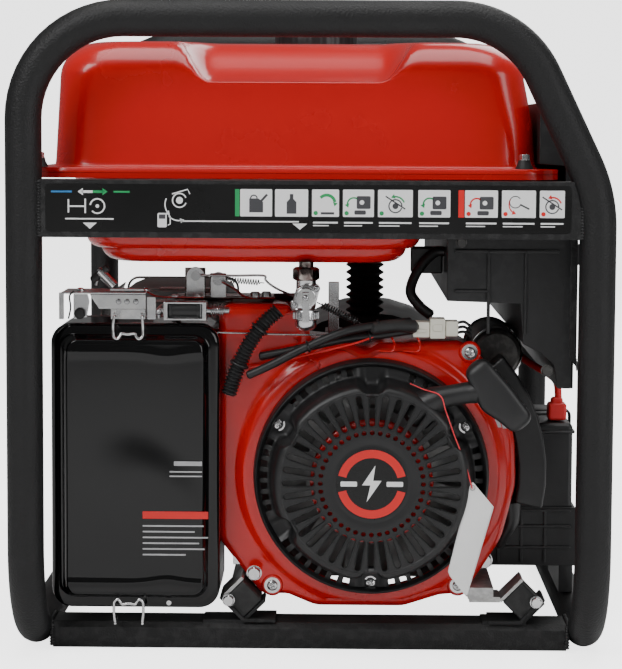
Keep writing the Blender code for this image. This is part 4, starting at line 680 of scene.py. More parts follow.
def picture_label():
    """Black label film with plain pictures of fuel, choke, valve, switch and key, without any lettering."""
    film = plate(round_rectangle(-0.229, 0.3802, 0.225, 0.4214, 0.004), 0.0003, (0, LABEL_Y, 0))
    piece("picture_label", film, "panel_paint", ink="label_black")
    white, green, red, grey, blue = [], [], [], [], []
    middle = [left + width / 2 for left, width in SQUARES]
    for left, width in SQUARES:
        white.append(round_rectangle(left, SQUARE_LOW, left + width, SQUARE_HIGH, 0.0008, 2))
    green.append(round_rectangle(-0.065, SQUARE_LOW, -0.0612, SQUARE_HIGH, 0.0003, 2))
    red.append(round_rectangle(0.1276, SQUARE_LOW, 0.1325, SQUARE_HIGH, 0.0003, 2))
    # fuel can and oil bottle
    x, z = middle[0], 0.4045
    grey += [np.array([(x - 0.006, z - 0.007), (x + 0.006, z - 0.007), (x + 0.006, z + 0.002),
            (x + 0.002, z + 0.005), (x - 0.006, z + 0.005)]),
             stroke([(x + 0.0045, z + 0.003), (x + 0.0095, z + 0.0085)], 0.002),
             stroke(circle(x - 0.002, z + 0.005, 0.0028, 10, 0, math.pi), 0.0011)]
    x = middle[1]
    grey += [np.array([(x - 0.0042, z - 0.008), (x + 0.0042, z - 0.008), (x + 0.0042, z + 0.002),
            (x + 0.0015, z + 0.005), (x + 0.0015, z + 0.009), (x - 0.0015, z + 0.009),
            (x - 0.0015, z + 0.005), (x - 0.0042, z + 0.002)])]
    # steps: level, flow, panel with a switch, twice, then the same marked in red
    for spot, marks, tone in ((2, "level", green), (3, "switch", green), (4, "valve", green),
            (5, "switch", green), (6, "switch", red), (7, "key", red), (8, "valve", red)):
        x = middle[spot]
        tone.append(circle(SQUARES[spot][0] + 0.0032, SQUARE_LOW + 0.0032, 0.0019, 14))
        if marks == "level":
            tone += curved_arrow(x + 0.001, z + 0.001, 0.0072, 2.4, -2.6, 0.0026)
            grey.append(stroke([(x - 0.004, z - 0.0075), (x + 0.0075, z - 0.0075)], 0.002))
        if marks == "switch":
            grey += [round_rectangle(x - 0.0015, z - 0.0035, x + 0.0105, z + 0.0075, 0.001, 2),
                      round_rectangle(x - 0.0035, z - 0.0085, x + 0.0065, z - 0.0048, 0.001, 2)]
            white_dot = circle(x + 0.003, z + 0.002, 0.0024, 14)
            white.append(white_dot)
            tone += curved_arrow(x - 0.004, z + 0.0005, 0.0055, 0.9, 2.6)
        if marks == "valve":
            grey += [stroke(circle(x, z - 0.001, 0.0056, 24, 0, 6.0), 0.0011),
                     circle(x, z - 0.001, 0.0026, 14), stroke([(x - 0.0085, z + 0.0075),
                    (x + 0.0085, z - 0.0035)], 0.0012)]
            tone += curved_arrow(x, z - 0.001, 0.0082, 0.4, 1.5)
        if marks == "key":
            grey += [stroke(circle(x - 0.003, z + 0.003, 0.005, 24, 0.6, 5.2), 0.0008),
                     stroke([(x + 0.001, z + 0.001), (x + 0.009, z - 0.003)], 0.0014)]
            tone += curved_arrow(x, z + 0.001, 0.0085, 2.6, 1.7, 0.001)
    # row of step dots under the squares stands where a caption would be
    for left, width in SQUARES[2:]:
        white += [stroke([(left + 0.001, 0.389), (left + width - 0.001, 0.389)], 0.0014)]
        white += [stroke([(left + 0.001, 0.3864), (left + width * 0.62, 0.3864)], 0.0009)]
    # choke mark: two-way arrow, slide with its ring, pointer down to the lever
    white += [stroke([(-0.1975, 0.4146), (-0.188, 0.4146)], 0.0022),
              arrow((-0.201, 0.4146), (-1, 0), 0.0045, 0.0062)]
    green += [stroke([(-0.188, 0.4146), (-0.179, 0.4146)], 0.0022),
              arrow((-0.175, 0.4146), (1, 0), 0.0045, 0.0062)]
    white += [stroke([(-0.209, 0.408), (-0.209, 0.3965)], 0.0013),
              stroke([(-0.2085, 0.402), (-0.195, 0.402)], 0.0013),
              stroke([(-0.1945, 0.4085), (-0.1945, 0.396)], 0.0013),
              stroke(circle(-0.184, 0.4022, 0.0062, 30, -2.4, 5.4), 0.0013),
              circle(-0.184, 0.4022, 0.0016, 12), arrow((-0.1905, 0.3826), (0, -1), 0.0052, 0.012),
              stroke([(-0.212, 0.3912), (-0.17, 0.3912)], 0.0012)]
    blue += [stroke([(-0.224, 0.4146), (-0.206, 0.4146)], 0.0016)]
    green += [stroke([(-0.17, 0.4146), (-0.156, 0.4146)], 0.0016)]
    # fuel valve mark: plate, two turning arrows, pump, and the line to the valve below
    white += [stroke(circle(-0.113, 0.4075, 0.006, 26, 0.4, 5.5), 0.0011), circle(-0.113, 0.4075, 0.003, 16),
               stroke([(-0.1195, 0.413), (-0.106, 0.417), (-0.104, 0.413)], 0.001)]
    white += curved_arrow(-0.1135, 0.404, 0.012, 2.7, 1.2, 0.001)
    white += curved_arrow(-0.1135, 0.402, 0.012, 3.9, 1.1, 0.001)
    white += [round_rectangle(-0.132, 0.3842, -0.124, 0.3965, 0.001, 2),
              stroke([(-0.1232, 0.386), (-0.121, 0.387), (-0.121, 0.3935), (-0.1228, 0.3955)], 0.0009),
              stroke([(-0.112, 0.3896), (-0.01, 0.3896)], 0.0011),
              arrow((-0.009, 0.3828), (0, -1), 0.0052, 0.013)]
    grey.append(round_rectangle(-0.1308, 0.3915, -0.1252, 0.3953, 0.0005, 2))
    flat_marks("label_white_marks", white, LABEL_FACE, "mark_white")
    flat_marks("label_grey_marks", grey, LABEL_FACE - 0.0001, "mark_grey")
    flat_marks("label_green_marks", green, LABEL_FACE - 0.0001, "mark_green")
    flat_marks("label_red_marks", red, LABEL_FACE - 0.0001, "mark_red")
    flat_marks("label_blue_marks", blue, LABEL_FACE - 0.0001, "mark_blue")
    dots = [circle(middle[spot] + 0.003, 0.4065, 0.002, 14) for spot in (3, 5, 6)]
    flat_marks("label_switch_dots", dots, LABEL_FACE - 0.0002, "mark_white")


picture_label()


# ---- fuel tank ----
TANK_LEFT, TANK_RIGHT, TANK_HALF = -0.25, 0.2195, 0.309
RIM_LOW, RIM_MID, RIM_HIGH, ROOF = 0.4258, 0.4303, 0.4351, 0.55


def even_outline(outline, count):
    """A closed flat outline read again at points an equal length apart."""
    closed = np.concatenate([outline, outline[:1]])
    length = np.concatenate([[0], np.cumsum(np.linalg.norm(np.diff(closed, axis=0), axis=1))])
    at = np.linspace(0, length[-1], count, endpoint=False)
    return np.stack([np.interp(at, length, closed[:, 0]), np.interp(at, length, closed[:, 1])], -1)


def capped_faces(rows, columns):
    """Faces of a grid round a shape, with its last row closed by one face."""
    return grid_faces(rows, columns).tolist() + [list(range((rows - 1) * columns, rows * columns))]


def rounded_section(left, right, half_back, half_front, corner, count=160):
    """Plan of one level of a pressed shell: a rectangle with round corners, evenly stepped."""
    return even_outline(round_rectangle(left, -half_front, right, half_back, corner, 12), count)


def shell(levels, count=160):
    """A closed surface through level outlines of (z, left, right, half length, corner)."""
    points = []
    for z, left, right, half, corner in levels:
        plan = rounded_section(left, right, half, half, corner, count)
        points.append(np.column_stack([plan, np.full(count, z)]))
    return np.array(points)


def smooth_step(value, low, high):
    """0 below low, 1 above high, and a smooth S between."""
    share = np.clip((value - low) / (high - low), 0, 1)
    return share * share * (3 - 2 * share)


def tank_top():
    """Upper shell: rim, wall that leans in, round shoulder and crowned roof, less the hand scoops.

    Each scoop lowers the roof towards a sloping floor with a smooth minimum, and its ends fade
    over a slant, so that a hump stays at each corner.
    """
    wall_left, wall_right, half = TANK_LEFT + 0.0195, TANK_RIGHT - 0.0195, TANK_HALF - 0.0195
    levels = [(RIM_MID + 0.0003, TANK_LEFT, TANK_RIGHT, TANK_HALF, 0.034),
              (RIM_HIGH - 0.0006, TANK_LEFT, TANK_RIGHT, TANK_HALF, 0.034),
              (RIM_HIGH, TANK_LEFT + 0.0008, TANK_RIGHT - 0.0008, TANK_HALF - 0.0008, 0.034)]
    for share in np.linspace(0, 1, 5):
        foot = 0.0035 * (1 - math.sin(share * TAU / 4))
        levels.append((RIM_HIGH + 0.0035 * (1 - math.cos(share * TAU / 4)), wall_left - foot, wall_right
                + foot, half + foot, 0.034))
    for share in np.linspace(0.06, 1, 12):
        z = RIM_HIGH + 0.0035 + (0.514 - RIM_HIGH - 0.0035) * share
        lean = 0.004 * share
        right_lean = 0.005 * share + 0.01 * max(0.0, share - 0.45)
        levels.append((z, wall_left + lean, wall_right - right_lean, half - lean, 0.036))
    for share in np.linspace(0.07, 1, 14):
        turn = share * TAU / 4
        inward, up = 1 - math.cos(turn), math.sin(turn)
        z = 0.514 + (ROOF - 0.003 - 0.514) * up
        levels.append((z, wall_left + 0.004 + 0.034 * inward, wall_right - 0.0105 - 0.04 * inward,
                half - 0.004 - 0.034 * inward, 0.036 + 0.004 * inward))
    for share in np.linspace(0.06, 0.99, 22):
        inset = 0.176 * share
        levels.append((ROOF - 0.003 * (1 - share) ** 2, wall_left + 0.038 + inset,
                wall_right - 0.0505 - inset, half - 0.038 - inset * 1.15, max(0.004, 0.04 * (1 - share))))
    points = shell(levels, 260)
    x, y, z = points[..., 0], points[..., 1], points[..., 2]
    far = np.abs(y)
    slope = np.clip((0.262 - far) / 0.085, 0, 1)
    floor = 0.511 + 0.045 * slope * slope * (3 - 2 * slope)
    ends = smooth_step(x, -0.142, -0.092) * (1 - smooth_step(x, 0.062, 0.118))
    near = smooth_step(-y, 0.1, 0.14)
    limit = floor + (1 - ends * near) * 0.08
    soft = 0.0045
    lowered = -soft * np.log(np.exp(-np.clip(z, 0.4, 1) / soft) + np.exp(-limit / soft))
    points[..., 2] = np.where(z > RIM_HIGH + 0.02, lowered, z)
    rows, columns = z.shape
    faces = capped_faces(rows, columns)
    piece("tank_upper_shell", (points.reshape(-1, 3), faces), "red_paint", replaces=("fuel_tank_upper",),
           sharp=60.0)


def tank_pan():
    """Lower shell: rim, a first draw, a rounded step and a smaller flat-bottomed pan."""
    left, right, half = -0.205, 0.1, TANK_HALF - 0.0235
    levels = [(RIM_LOW, TANK_LEFT, TANK_RIGHT, TANK_HALF, 0.034),
              (RIM_MID, TANK_LEFT, TANK_RIGHT, TANK_HALF, 0.034)]
    low = [(RIM_LOW, TANK_LEFT, TANK_RIGHT, TANK_HALF, 0.034)]
    for share in np.linspace(0, 1, 7):
        turn = share * TAU / 4
        low.append((RIM_LOW - 0.006 * math.sin(turn), left - 0.006
                    + 0.006 * math.sin(turn) ** 2 - 0.002 * (1 - share), right + 0.008 - 0.008 * share, half
                    + 0.006 - 0.006 * share, 0.03))
    for share in np.linspace(0.1, 1, 8):
        low.append((RIM_LOW - 0.006 - 0.046 * share, left + 0.002 * share, right - 0.002 * share,
                    half - 0.002 * share, 0.03))
    for share in np.linspace(0.1, 1, 8):
        turn = share * TAU / 4
        low.append((0.3738 - 0.0115 * math.sin(turn), left + 0.002 + 0.0125 * (1 - math.cos(turn)),
                    right - 0.002 - 0.0125 * (1 - math.cos(turn)), half - 0.002 - 0.01 * (1 - math.cos(turn)),
                     0.03))
    for share in np.linspace(0.1, 1, 10):
        turn = share * TAU / 4
        low.append((0.3623 - 0.0125 * math.sin(turn), left + 0.0145 + 0.014 * (1 - math.cos(turn))
                    + 0.004 * share, right - 0.0145 - 0.014 * (1 - math.cos(turn)) - 0.004 * share,
                    half - 0.012 - 0.014 * (1 - math.cos(turn)), 0.028))
    low.append((0.3492, left + 0.06, right - 0.06, half - 0.06, 0.02))
    ordered = levels[::-1] + low[1:]
    points = shell(ordered, 200)
    rows, columns = points.shape[:2]
    faces = grid_faces(rows, columns).tolist() + [list(range((rows - 1) * columns, rows * columns)),
            list(range(columns))[::-1]]
    piece("tank_lower_shell", (points.reshape(-1, 3), faces), "red_paint", replaces=("fuel_tank_lower",),
           sharp=60.0)


def tank_fittings():
    """Rubber seats, hex bolts at the rim's corners, ribbed cap and the level gauge on the roof."""
    bolts, washers = [], []
    for x in (-0.2395, 0.187):
        for y in (-0.3, 0.3):
            bolts += hex_bolt((x, y, RIM_HIGH + 0.0086), Z_AXIS, 0.008)
            washers.append(lathe([(0.0, 0.0078), (0.0052, 0.0076), (0.0058, 0.005), (0.008, 0.0006),
                    (0.008, 0.0), (0.0, 0.0)], (x, y, RIM_HIGH + 0.0003), Z_AXIS, 24))
    piece("tank_bolts", bolts, "zinc")
    piece("tank_bolt_rubbers", washers, "rubber")
    low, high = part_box("fuel_cap")
    radius = (high.x - low.x) / 2
    ribs = lambda angle: radius * (1 - 0.03 * (0.5 + 0.5 * np.cos(36 * angle)) ** 3)
    top = high.z
    profile = [(0.0, top), (radius * 0.5, top), (radius * 0.54, top - 0.0012), (radius * 0.8, top - 0.0014),
               (radius * 0.86, top), (radius * 0.93, top - 0.001), (radius * 0.975, top - 0.004),
               (radius * 0.985, low.z + 0.004), (radius * 0.985, low.z), (radius * 0.8, low.z),
               (0.0, low.z + 0.006)]
    grip = [block((-radius * 0.44, -0.006, top - 0.0006), (radius * 0.44, 0.006, top + 0.0035))]
    cap = lathe(profile, (0, 0, 0), Z_AXIS, 144, ribs)
    piece("fuel_cap_ribbed", [cap], "black_plastic", "fuel_cap", replaces=("fuel_cap",))
    piece("fuel_cap_bar", grip, "black_plastic", "fuel_cap", bevel=0.0014)
    gauge = [(0.0, 0.003), (0.015, 0.003), (0.0165, 0.0045), (0.019, 0.004), (0.0205, 0.0005),
             (0.0205, -0.002), (0.0, -0.002)]
    piece("level_gauge_rim", lathe(gauge, (0.055, 0.0, ROOF + 0.0004), Z_AXIS, 40), "black_plastic")
    piece("level_gauge_dial", lathe([(0.0, 0.0036), (0.0148, 0.0034), (0.0148, 0.0), (0.0, 0.0)],
            (0.055, 0.0, ROOF + 0.0004), Z_AXIS, 36), "white_card", ink="dial_glass")
    needle = plate([(-0.001, -0.009), (0.001, -0.009), (0.0004, 0.009), (-0.0004, 0.009)], 0.0003,
            (0.055, 0.0, ROOF + 0.004), X_AXIS, Y_AXIS)
    piece("level_gauge_needle", needle, "red_paint", ink="mark_red")


tank_top()
tank_pan()
tank_fittings()


# ---- recoil starter ----
CRANK_X, CRANK_Z = 0.055, 0.1585
RECOIL_BACK = -0.269
SPOKES = 40
SCREW_ANGLES = np.radians([150.5, 28.8, 270.0, 209.7, 90.0])


def on_cover(radius, angle, height):
    """Points by radius and angle about the crank axis, at a height in front of the shroud's face."""
    radius, angle, height = np.broadcast_arrays(radius, angle, height)
    return np.stack([CRANK_X + radius * np.cos(angle), RECOIL_BACK - height, CRANK_Z
            + radius * np.sin(angle)], -1)


def disc_height(radius):
    """Height of the disc: slightly domed, with a shallow ring round the middle label."""
    return 0.053 - 0.0016 * (radius / 0.08) ** 2 - 0.0008 * np.exp(-((radius - 0.0345) / 0.0022) ** 2)


def pierced_ring(inner, outer, half_long, half_wide, lip, drop):
    """A ring of equal sectors, each with a round-ended hole: rings of points run from the hole's
    inner wall over its raised lip to the sector's border."""
    side = np.linspace(-1, 1, 11)[:-1]
    square = np.concatenate([np.stack([side, np.full(10, -1.0)], -1), np.stack([np.full(10, 1.0), side], -1),
             np.stack([-side, np.full(10, 1.0)], -1), np.stack([np.full(10, -1.0), -side], -1)])
    along, across = square[:, 0], square[:, 1]
    end = np.abs(along) >= 1.0
    middle, half = (inner + outer) / 2, (outer - inner) / 2

    def opening(wide):
        """Radius and sideways offset of the hole's wall for one half width."""
        straight = half_long - half_wide
        turn = across * TAU / 4
        reach = np.where(end, np.sign(along) * (straight + wide * np.cos(turn)), along * straight)
        return middle + reach, np.where(end, wide * np.sin(turn), across * wide)

    rings = []
    for wide, rise in ((half_wide, -drop), (half_wide, -0.0004), (half_wide + 0.0003, lip),
            (half_wide + 0.0008, lip), (half_wide + 0.0012, 0.0)):
        radius, offset = opening(wide)
        rings.append((radius, offset / radius, disc_height(radius) + rise))
    radius = middle + along * half
    rings.append((radius, across * math.pi / SPOKES, disc_height(radius)))
    radius, angle, height = (np.array(v) for v in zip(*rings))
    turns = np.arange(SPOKES) * TAU / SPOKES + TAU / 4
    points = on_cover(radius[None], angle[None] + turns[:, None, None], height[None]).reshape(-1, 3)
    one = grid_faces(6, 40)
    faces = (one[None] + (np.arange(SPOKES) * 240)[:, None, None]).reshape(-1, 4)
    return points, faces.tolist()


def recoil_cover():
    """Black moulded cover: a pierced disc, a steep wall whose foot draws in at each screw, a channel
    with oblong windows and a round outer bead."""
    angle = np.arange(720) * TAU / 720
    radius = np.array([0.0, 0.01, 0.02, 0.028, 0.0315, 0.0335, 0.0355, 0.038, 0.0412])
    middle = on_cover(radius[:, None], angle[None, ::6], disc_height(radius)[:, None])
    parts = [(middle.reshape(-1, 3), grid_faces(len(radius), 120).tolist()),
             pierced_ring(0.0412, 0.0496, 0.0021, 0.002, 0.0, 0.0022),
             pierced_ring(0.0496, 0.08, 0.0138, 0.0024, 0.0007, 0.003)]
    gap = (angle[:, None] - SCREW_ANGLES[None, :] + math.pi) % TAU - math.pi
    pad = np.clip(np.exp(-(gap / math.radians(6.5)) ** 2).sum(1), 0, 1)
    pad = smooth_step(pad, 0.05, 0.85)
    rows = [(0.08, 0.0514, 0), (0.0822, 0.0509, 0.3), (0.0845, 0.0496, 0.8), (0.0862, 0.0472, 1),
            (0.0875, 0.043, 1), (0.089, 0.033, 1), (0.0906, 0.0215, 1), (0.0915, 0.019, 1),
            (0.0925, 0.018, 0.7), (0.0935, 0.0176, 0.4), (0.0998, 0.017, 0.0), (0.1006, 0.0176, 0.0),
            (0.1016, 0.0196, 0.0), (0.103, 0.0206, 0.0), (0.1044, 0.0196, 0.0), (0.1052, 0.0172, 0.0),
            (0.1054, 0.006, 0.0), (0.1062, 0.004, 0.0), (0.1064, 0.0006, 0.0)]
    base, height, pull = (np.array(v)[:, None] for v in zip(*rows))
    radius = base - pull * pad[None, :] * 0.0085
    lower = height - pad[None, :] * np.clip((base - 0.089) / 0.003, 0, 1) * np.clip((0.1004 - base) / 0.001,
            0, 1) * 0.006
    degrees = np.degrees(angle)
    window = np.zeros(720, bool)
    for start, count, pitch in ((101.5, 6, 6.8), (160.5, 7, 6.0), (60.0, 2, 8.0), (-18.0, 6, 6.6),
            (218.0, 7, 6.4), (281.0, 7, 6.4)):
        for number in range(count):
            away = (degrees - start - number * pitch + 180) % 360 - 180
            window |= np.abs(away) < 1.9
    keep = np.ones((len(rows) - 1, 720), bool)
    keep[9, :] = ~window
    points = on_cover(radius, angle[None, :], lower).reshape(-1, 3)
    outer = piece("recoil_cover_rim", (points, grid_faces(len(rows), 720, keep=keep).tolist()),
                   "black_plastic", thickness=0.0022, sharp=50.0)
    disc = piece("recoil_cover_disc", parts, "black_plastic", replaces=("recoil_cover",), sharp=50.0)
    nose = smooth_path([(0.093, -0.299, 0.218), (0.106, -0.3045, 0.229), (0.119, -0.308, 0.2345),
            (0.133, -0.3095, 0.2375), (0.148, -0.31, 0.2402)], 0.002)
    share = np.linspace(0, 1, len(nose))
    width = 0.0175 - 0.0075 * smooth_step(share, 0.0, 0.65) + 0.001 * smooth_step(share, 0.85, 0.95)
    piece("rope_nose", tube(nose, width, 28, flat=0.95), "black_plastic")
    screws = []
    for turn in SCREW_ANGLES[:3]:
        place = on_cover(0.0962, turn, 0.0122)
        screws += cross_screw(place, -Y_AXIS, 0.0046)
    piece("recoil_cover_screws", screws, "zinc")
    pads = [lathe([(0.0, 0.0115), (0.0068, 0.0115), (0.0075, 0.01), (0.0078, 0.0), (0.0, 0.0)],
                  on_cover(0.0962, turn, 0.0), -Y_AXIS, 28) for turn in SCREW_ANGLES[:4]]
    piece("recoil_cover_pads", pads, "black_plastic")
    hole = [lathe([(0.0, 0.0003), (0.003, 0.0003), (0.003, 0.0), (0.0, 0.0)], on_cover(0.0962, turn, 0.0116),
                   -Y_AXIS, 20) for turn in SCREW_ANGLES[3:]]
    piece("recoil_cover_empty_holes", hole, "red_paint")
    return outer, disc


def ring_sector(inner, outer, start, turn, steps=40):
    """A flat band between two radii about the crank axis, as (x, z)."""
    return np.concatenate([circle(CRANK_X, CRANK_Z, outer, steps, start, turn),
            circle(CRANK_X, CRANK_Z, inner, steps, start + turn, -turn)])


def middle_badge():
    """Plain round badge: black film, two red arcs and a plain white bolt, without any lettering."""
    face = RECOIL_BACK - 0.0532
    flat_marks("badge_film", [circle(CRANK_X, CRANK_Z, 0.0318, 60)], face + 0.0002, "label_black",
                "black_plastic", 0.0004)
    arcs = [ring_sector(0.0232, 0.0305, math.radians(14), math.radians(152)),
            ring_sector(0.0232, 0.0305, math.radians(194), math.radians(152))]
    flat_marks("badge_red_arcs", arcs, face - 0.0002, "mark_red", "black_plastic")
    bolt = [(0.003, 0.0165), (-0.0085, -0.001), (-0.0012, -0.001), (-0.0045, -0.016), (0.0085, 0.003),
            (0.0012, 0.003)]
    bolt = np.array(bolt) + (CRANK_X, CRANK_Z)
    bars = [round_rectangle(CRANK_X + a, CRANK_Z - 0.0022, CRANK_X + b, CRANK_Z + 0.0022, 0.0008, 3) for a,
            b in ((-0.0275, -0.013), (0.013, 0.0275))]
    flat_marks("badge_white_bolt", [bolt] + bars, face - 0.0002, "mark_white", "black_plastic")


def superellipse_ring(half_wide, half_deep, power, count=40):
    """A section between an ellipse and a rectangle: each of cosine and sine raised to 2 / power."""
    angle = np.arange(count) * TAU / count
    c, s = np.cos(angle), np.sin(angle)
    return np.stack([half_wide * np.sign(c) * np.abs(c) ** (2 / power),
            half_deep * np.sign(s) * np.abs(s) ** (2 / power)], -1)


def pull_grip():
    """Faceted T grip: superellipse sections along a leaning axis, wider where the stem joins."""
    middle = np.array([0.166, -0.3105, 0.2368])
    way = unit([0.64, 0, -0.77])
    across = unit([-0.77, 0, -0.64])
    share = np.sin(np.linspace(-1, 1, 49) * TAU / 4)
    half_length = 0.0365
    swell = 0.004 * np.exp(-(share / 0.42) ** 2)
    tip = np.sqrt(np.clip(1 - np.abs(share) ** 9, 0.02, 1))
    sections = np.stack([superellipse_ring(0.0128 * t, 0.0118 * t, 4.2) for t in tip])
    wide = sections[..., 0] + np.where(sections[..., 0] > 0, swell[:, None] * 1.6,
            swell[:, None] * -0.2) * tip[:, None]
    points = (middle + (share * half_length)[:, None, None] * way + wide[..., None] * across
              + sections[..., 1][..., None] * Y_AXIS)
    rows, columns = wide.shape
    faces = grid_faces(rows, columns).tolist()
    faces += [list(range(columns))[::-1], list(range((rows - 1) * columns, rows * columns))]
    grip = points.reshape(-1, 3), faces
    stem = smooth_path([(0.161, -0.3103, 0.2405), (0.1545, -0.3102, 0.2415), (0.1495, -0.3101, 0.2408)],
            0.001)
    piece("pull_grip", [grip, tube(stem, np.linspace(0.0118, 0.0095, len(stem)), 24)], "black_plastic",
           "recoil_grip", replaces=("recoil_grip",), sharp=55.0)
    ribs = []
    for offset in (-0.0235, -0.0195, 0.0195, 0.0235):
        ring = middle + way * offset + across * -0.0122
        ribs.append(tube(np.array([ring - Y_AXIS * 0.0085, ring + Y_AXIS * 0.0085]), 0.0009, 10))
    piece("pull_grip_ribs", ribs, "black_plastic", "recoil_grip")
    rope = np.linspace((0.14, -0.3095, 0.2385), (0.158, -0.3102, 0.241), 80)
    twist = 0.0022 * (1 + 0.06 * np.cos(np.arange(80) * 1.7))
    made = piece("starter_rope", tube(rope, twist, 14), "red_string", body=None, ink="mark_grey")
    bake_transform(made)


recoil_cover()
middle_badge()
pull_grip()


# ---- tag and its string ----
FRONT = -0.3215
TAG_FACE = FRONT + 0.005
STRING_RADIUS = 0.0006
STRING_ROUTE = [(0.0889, FRONT + 0.0235, 0.2449), (0.1, FRONT + 0.0105, 0.2415),
        (0.1145, FRONT + 0.0025, 0.2369), (0.1197, FRONT + 0.002, 0.2229), (0.128, FRONT + 0.0035, 0.2),
        (0.137, FRONT + 0.0043, 0.177), (0.1436, TAG_FACE - 0.001, 0.1545)]


def hang_tag():
    """White card with cut corners and an eyelet, on a thin two-strand string."""
    grid_z = np.linspace(0, 1, 24)[:, None]
    left = np.stack([np.interp(grid_z[:, 0], [0, 0.03, 0.8, 1.0], [0.1438, 0.1412, 0.1226, 0.1392]),
            np.interp(grid_z[:, 0], [0, 0.03, 0.8, 1.0], [0.16, 0.157, 0.0785, 0.0578])], -1)
    right = np.stack([np.interp(grid_z[:, 0], [0, 0.22, 1.0], [0.1442, 0.163, 0.14]),
            np.interp(grid_z[:, 0], [0, 0.22, 1.0], [0.16, 0.138, 0.0576])], -1)
    across = np.linspace(0, 1, 14)[None, :, None]
    flat = left[:, None] * (1 - across) + right[:, None] * across
    bow = 0.0016 * np.sin(across[..., 0] * math.pi) * np.sin(grid_z * math.pi)
    points = np.stack([flat[..., 0], TAG_FACE - bow + 0 * flat[..., 0], flat[..., 1]], -1)
    piece("card_tag", (points.reshape(-1, 3), grid_faces(24, 14, wrap_columns=False).tolist()), "white_card",
           replaces=("hang_tag",), thickness=0.0005)
    angle = np.arange(24) * TAU / 24
    ring = np.array([(0.1438 + 0.0022 * math.cos(a), TAG_FACE - 0.0006, 0.1552 + 0.0022 * math.sin(a))
            for a in angle])
    eye = piece("tag_eyelet", tube(ring, 0.0005, 8, closed=True), "white_card", ink="mark_silver",
                replaces=("hang_tag",))
    path = smooth_path(STRING_ROUTE, 0.0012)
    twist = STRING_RADIUS * (1 + 0.12 * np.cos(np.arange(len(path)) * 2.1))
    string = piece("tag_string_strand", tube(path, twist, 8, round_ends=False), "red_string",
            replaces=("tag_string",))


hang_tag()


# ---- fan shroud ----

def fan_shroud():
    """Pressed red housing: an outline pulled forward, rounded over, and closed in to the round eye.

    The face is lifted a little near the eye; left of it the sheet falls back to a flat apron.
    """
    corners = [((-0.0835, 0.312), 0.012), ((-0.02, 0.312), 0.008), ((-0.0065, 0.282), 0.01),
               ((0.033, 0.2785), 0.016), ((0.048, 0.27), 0.012), ((0.062, 0.2775), 0.012),
               ((0.134, 0.28), 0.012), ((0.15, 0.27), 0.01), ((0.1715, 0.245), 0.04), ((0.185, 0.19), 0.06),
               ((0.1865, 0.15), 0.06), ((0.174, 0.1), 0.05), ((0.15, 0.062), 0.03), ((0.139, 0.049), 0.008),
               ((0.118, 0.047), 0.012), ((0.085, 0.0365), 0.03), ((0.005, 0.0365), 0.03),
               ((-0.02, 0.047), 0.014), ((-0.044, 0.047), 0.01), ((-0.0835, 0.098), 0.02)]
    loop = bent_path([(x, 0, z) for (x, z), _ in corners], [r for _, r in corners], 5, closed=True)[:, ::2]
    outline = even_outline(loop, 360)
    angle = np.arctan2(outline[:, 1] - CRANK_Z, outline[:, 0] - CRANK_X)
    ahead = np.roll(outline, -1, 0) - np.roll(outline, 1, 0)
    inward = unit(np.stack([ahead[:, 1], -ahead[:, 0]], -1))
    to_middle = unit(np.array([CRANK_X, CRANK_Z]) - outline)
    inward *= np.sign((inward * to_middle).sum(1, keepdims=True))
    rows = [(outline, np.full(360, -0.186)), (outline, np.full(360, -0.22)), (outline, np.full(360, -0.256))]
    for share in np.linspace(0.2, 1, 5):
        turn = share * TAU / 4
        rows.append((outline + inward * 0.0075 * (1 - math.cos(turn)),
                     np.full(360, -0.256 - 0.007 * math.sin(turn))))
    edge = outline + inward * 0.0075
    for share in np.linspace(0.06, 1, 20):
        eye = np.stack([CRANK_X + 0.105 * np.cos(angle), CRANK_Z + 0.105 * np.sin(angle)], -1)
        spot = edge * (1 - share) + eye * share
        reach = np.hypot(spot[:, 0] - CRANK_X, spot[:, 1] - CRANK_Z)
        lift = 0.0058 * (1 - smooth_step(reach, 0.1135, 0.1245))
        rows.append((spot, -0.263 - lift))
    lip = np.stack([CRANK_X + 0.1025 * np.cos(angle), CRANK_Z + 0.1025 * np.sin(angle)], -1)
    rows += [(lip, np.full(360, -0.267)), (lip, np.full(360, -0.262))]
    points = np.stack([np.column_stack([spot[:, 0], depth, spot[:, 1]]) for spot, depth in rows])
    piece("fan_shroud_shell", (points.reshape(-1, 3), grid_faces(len(rows), 360).tolist()), "red_paint",
           replaces=("fan_shroud",), thickness=0.002, sharp=50.0)
    screws = []
    for x, z in ((-0.034, 0.056), (0.1345, 0.0572), (0.143, 0.27)):
        screws += cross_screw((x, -0.265, z), -Y_AXIS, 0.0048, 1.5)
    piece("shroud_screws", screws, "zinc")
    bosses = [lathe([(0.0, 0.002), (0.0085, 0.002), (0.01, 0.0), (0.0, 0.0)], (x, -0.2628, z), -Y_AXIS,
            32) for x, z in ((-0.034, 0.056), (0.1345, 0.0572), (0.143, 0.27))]
    piece("shroud_screw_bosses", bosses, "red_paint")
    strips = [[(0.1545, 0.242), (0.159, 0.2425), (0.1725, 0.202), (0.169, 0.202)],
              [(0.1608, 0.243), (0.165, 0.2428), (0.1775, 0.201), (0.1738, 0.201)]]
    flat_marks("shroud_plain_labels", strips, -0.2634, "mark_silver", "red_paint", 0.0002)
    for x in (0.073, 0.096):
        hook = smooth_path([(x - 0.0125, -0.27, 0.2715), (x, -0.2715, 0.2712), (x + 0.002, -0.272, 0.277),
                (x + 0.001, -0.277, 0.281), (x - 0.0015, -0.27, 0.285)], 0.001)
        piece(f"harness_hook_{x:.3f}", tube(hook, 0.001, 10), "red_paint")


fan_shroud()


# ---- air filter ----
FILTER_LOW, FILTER_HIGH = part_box("air_filter_cover")


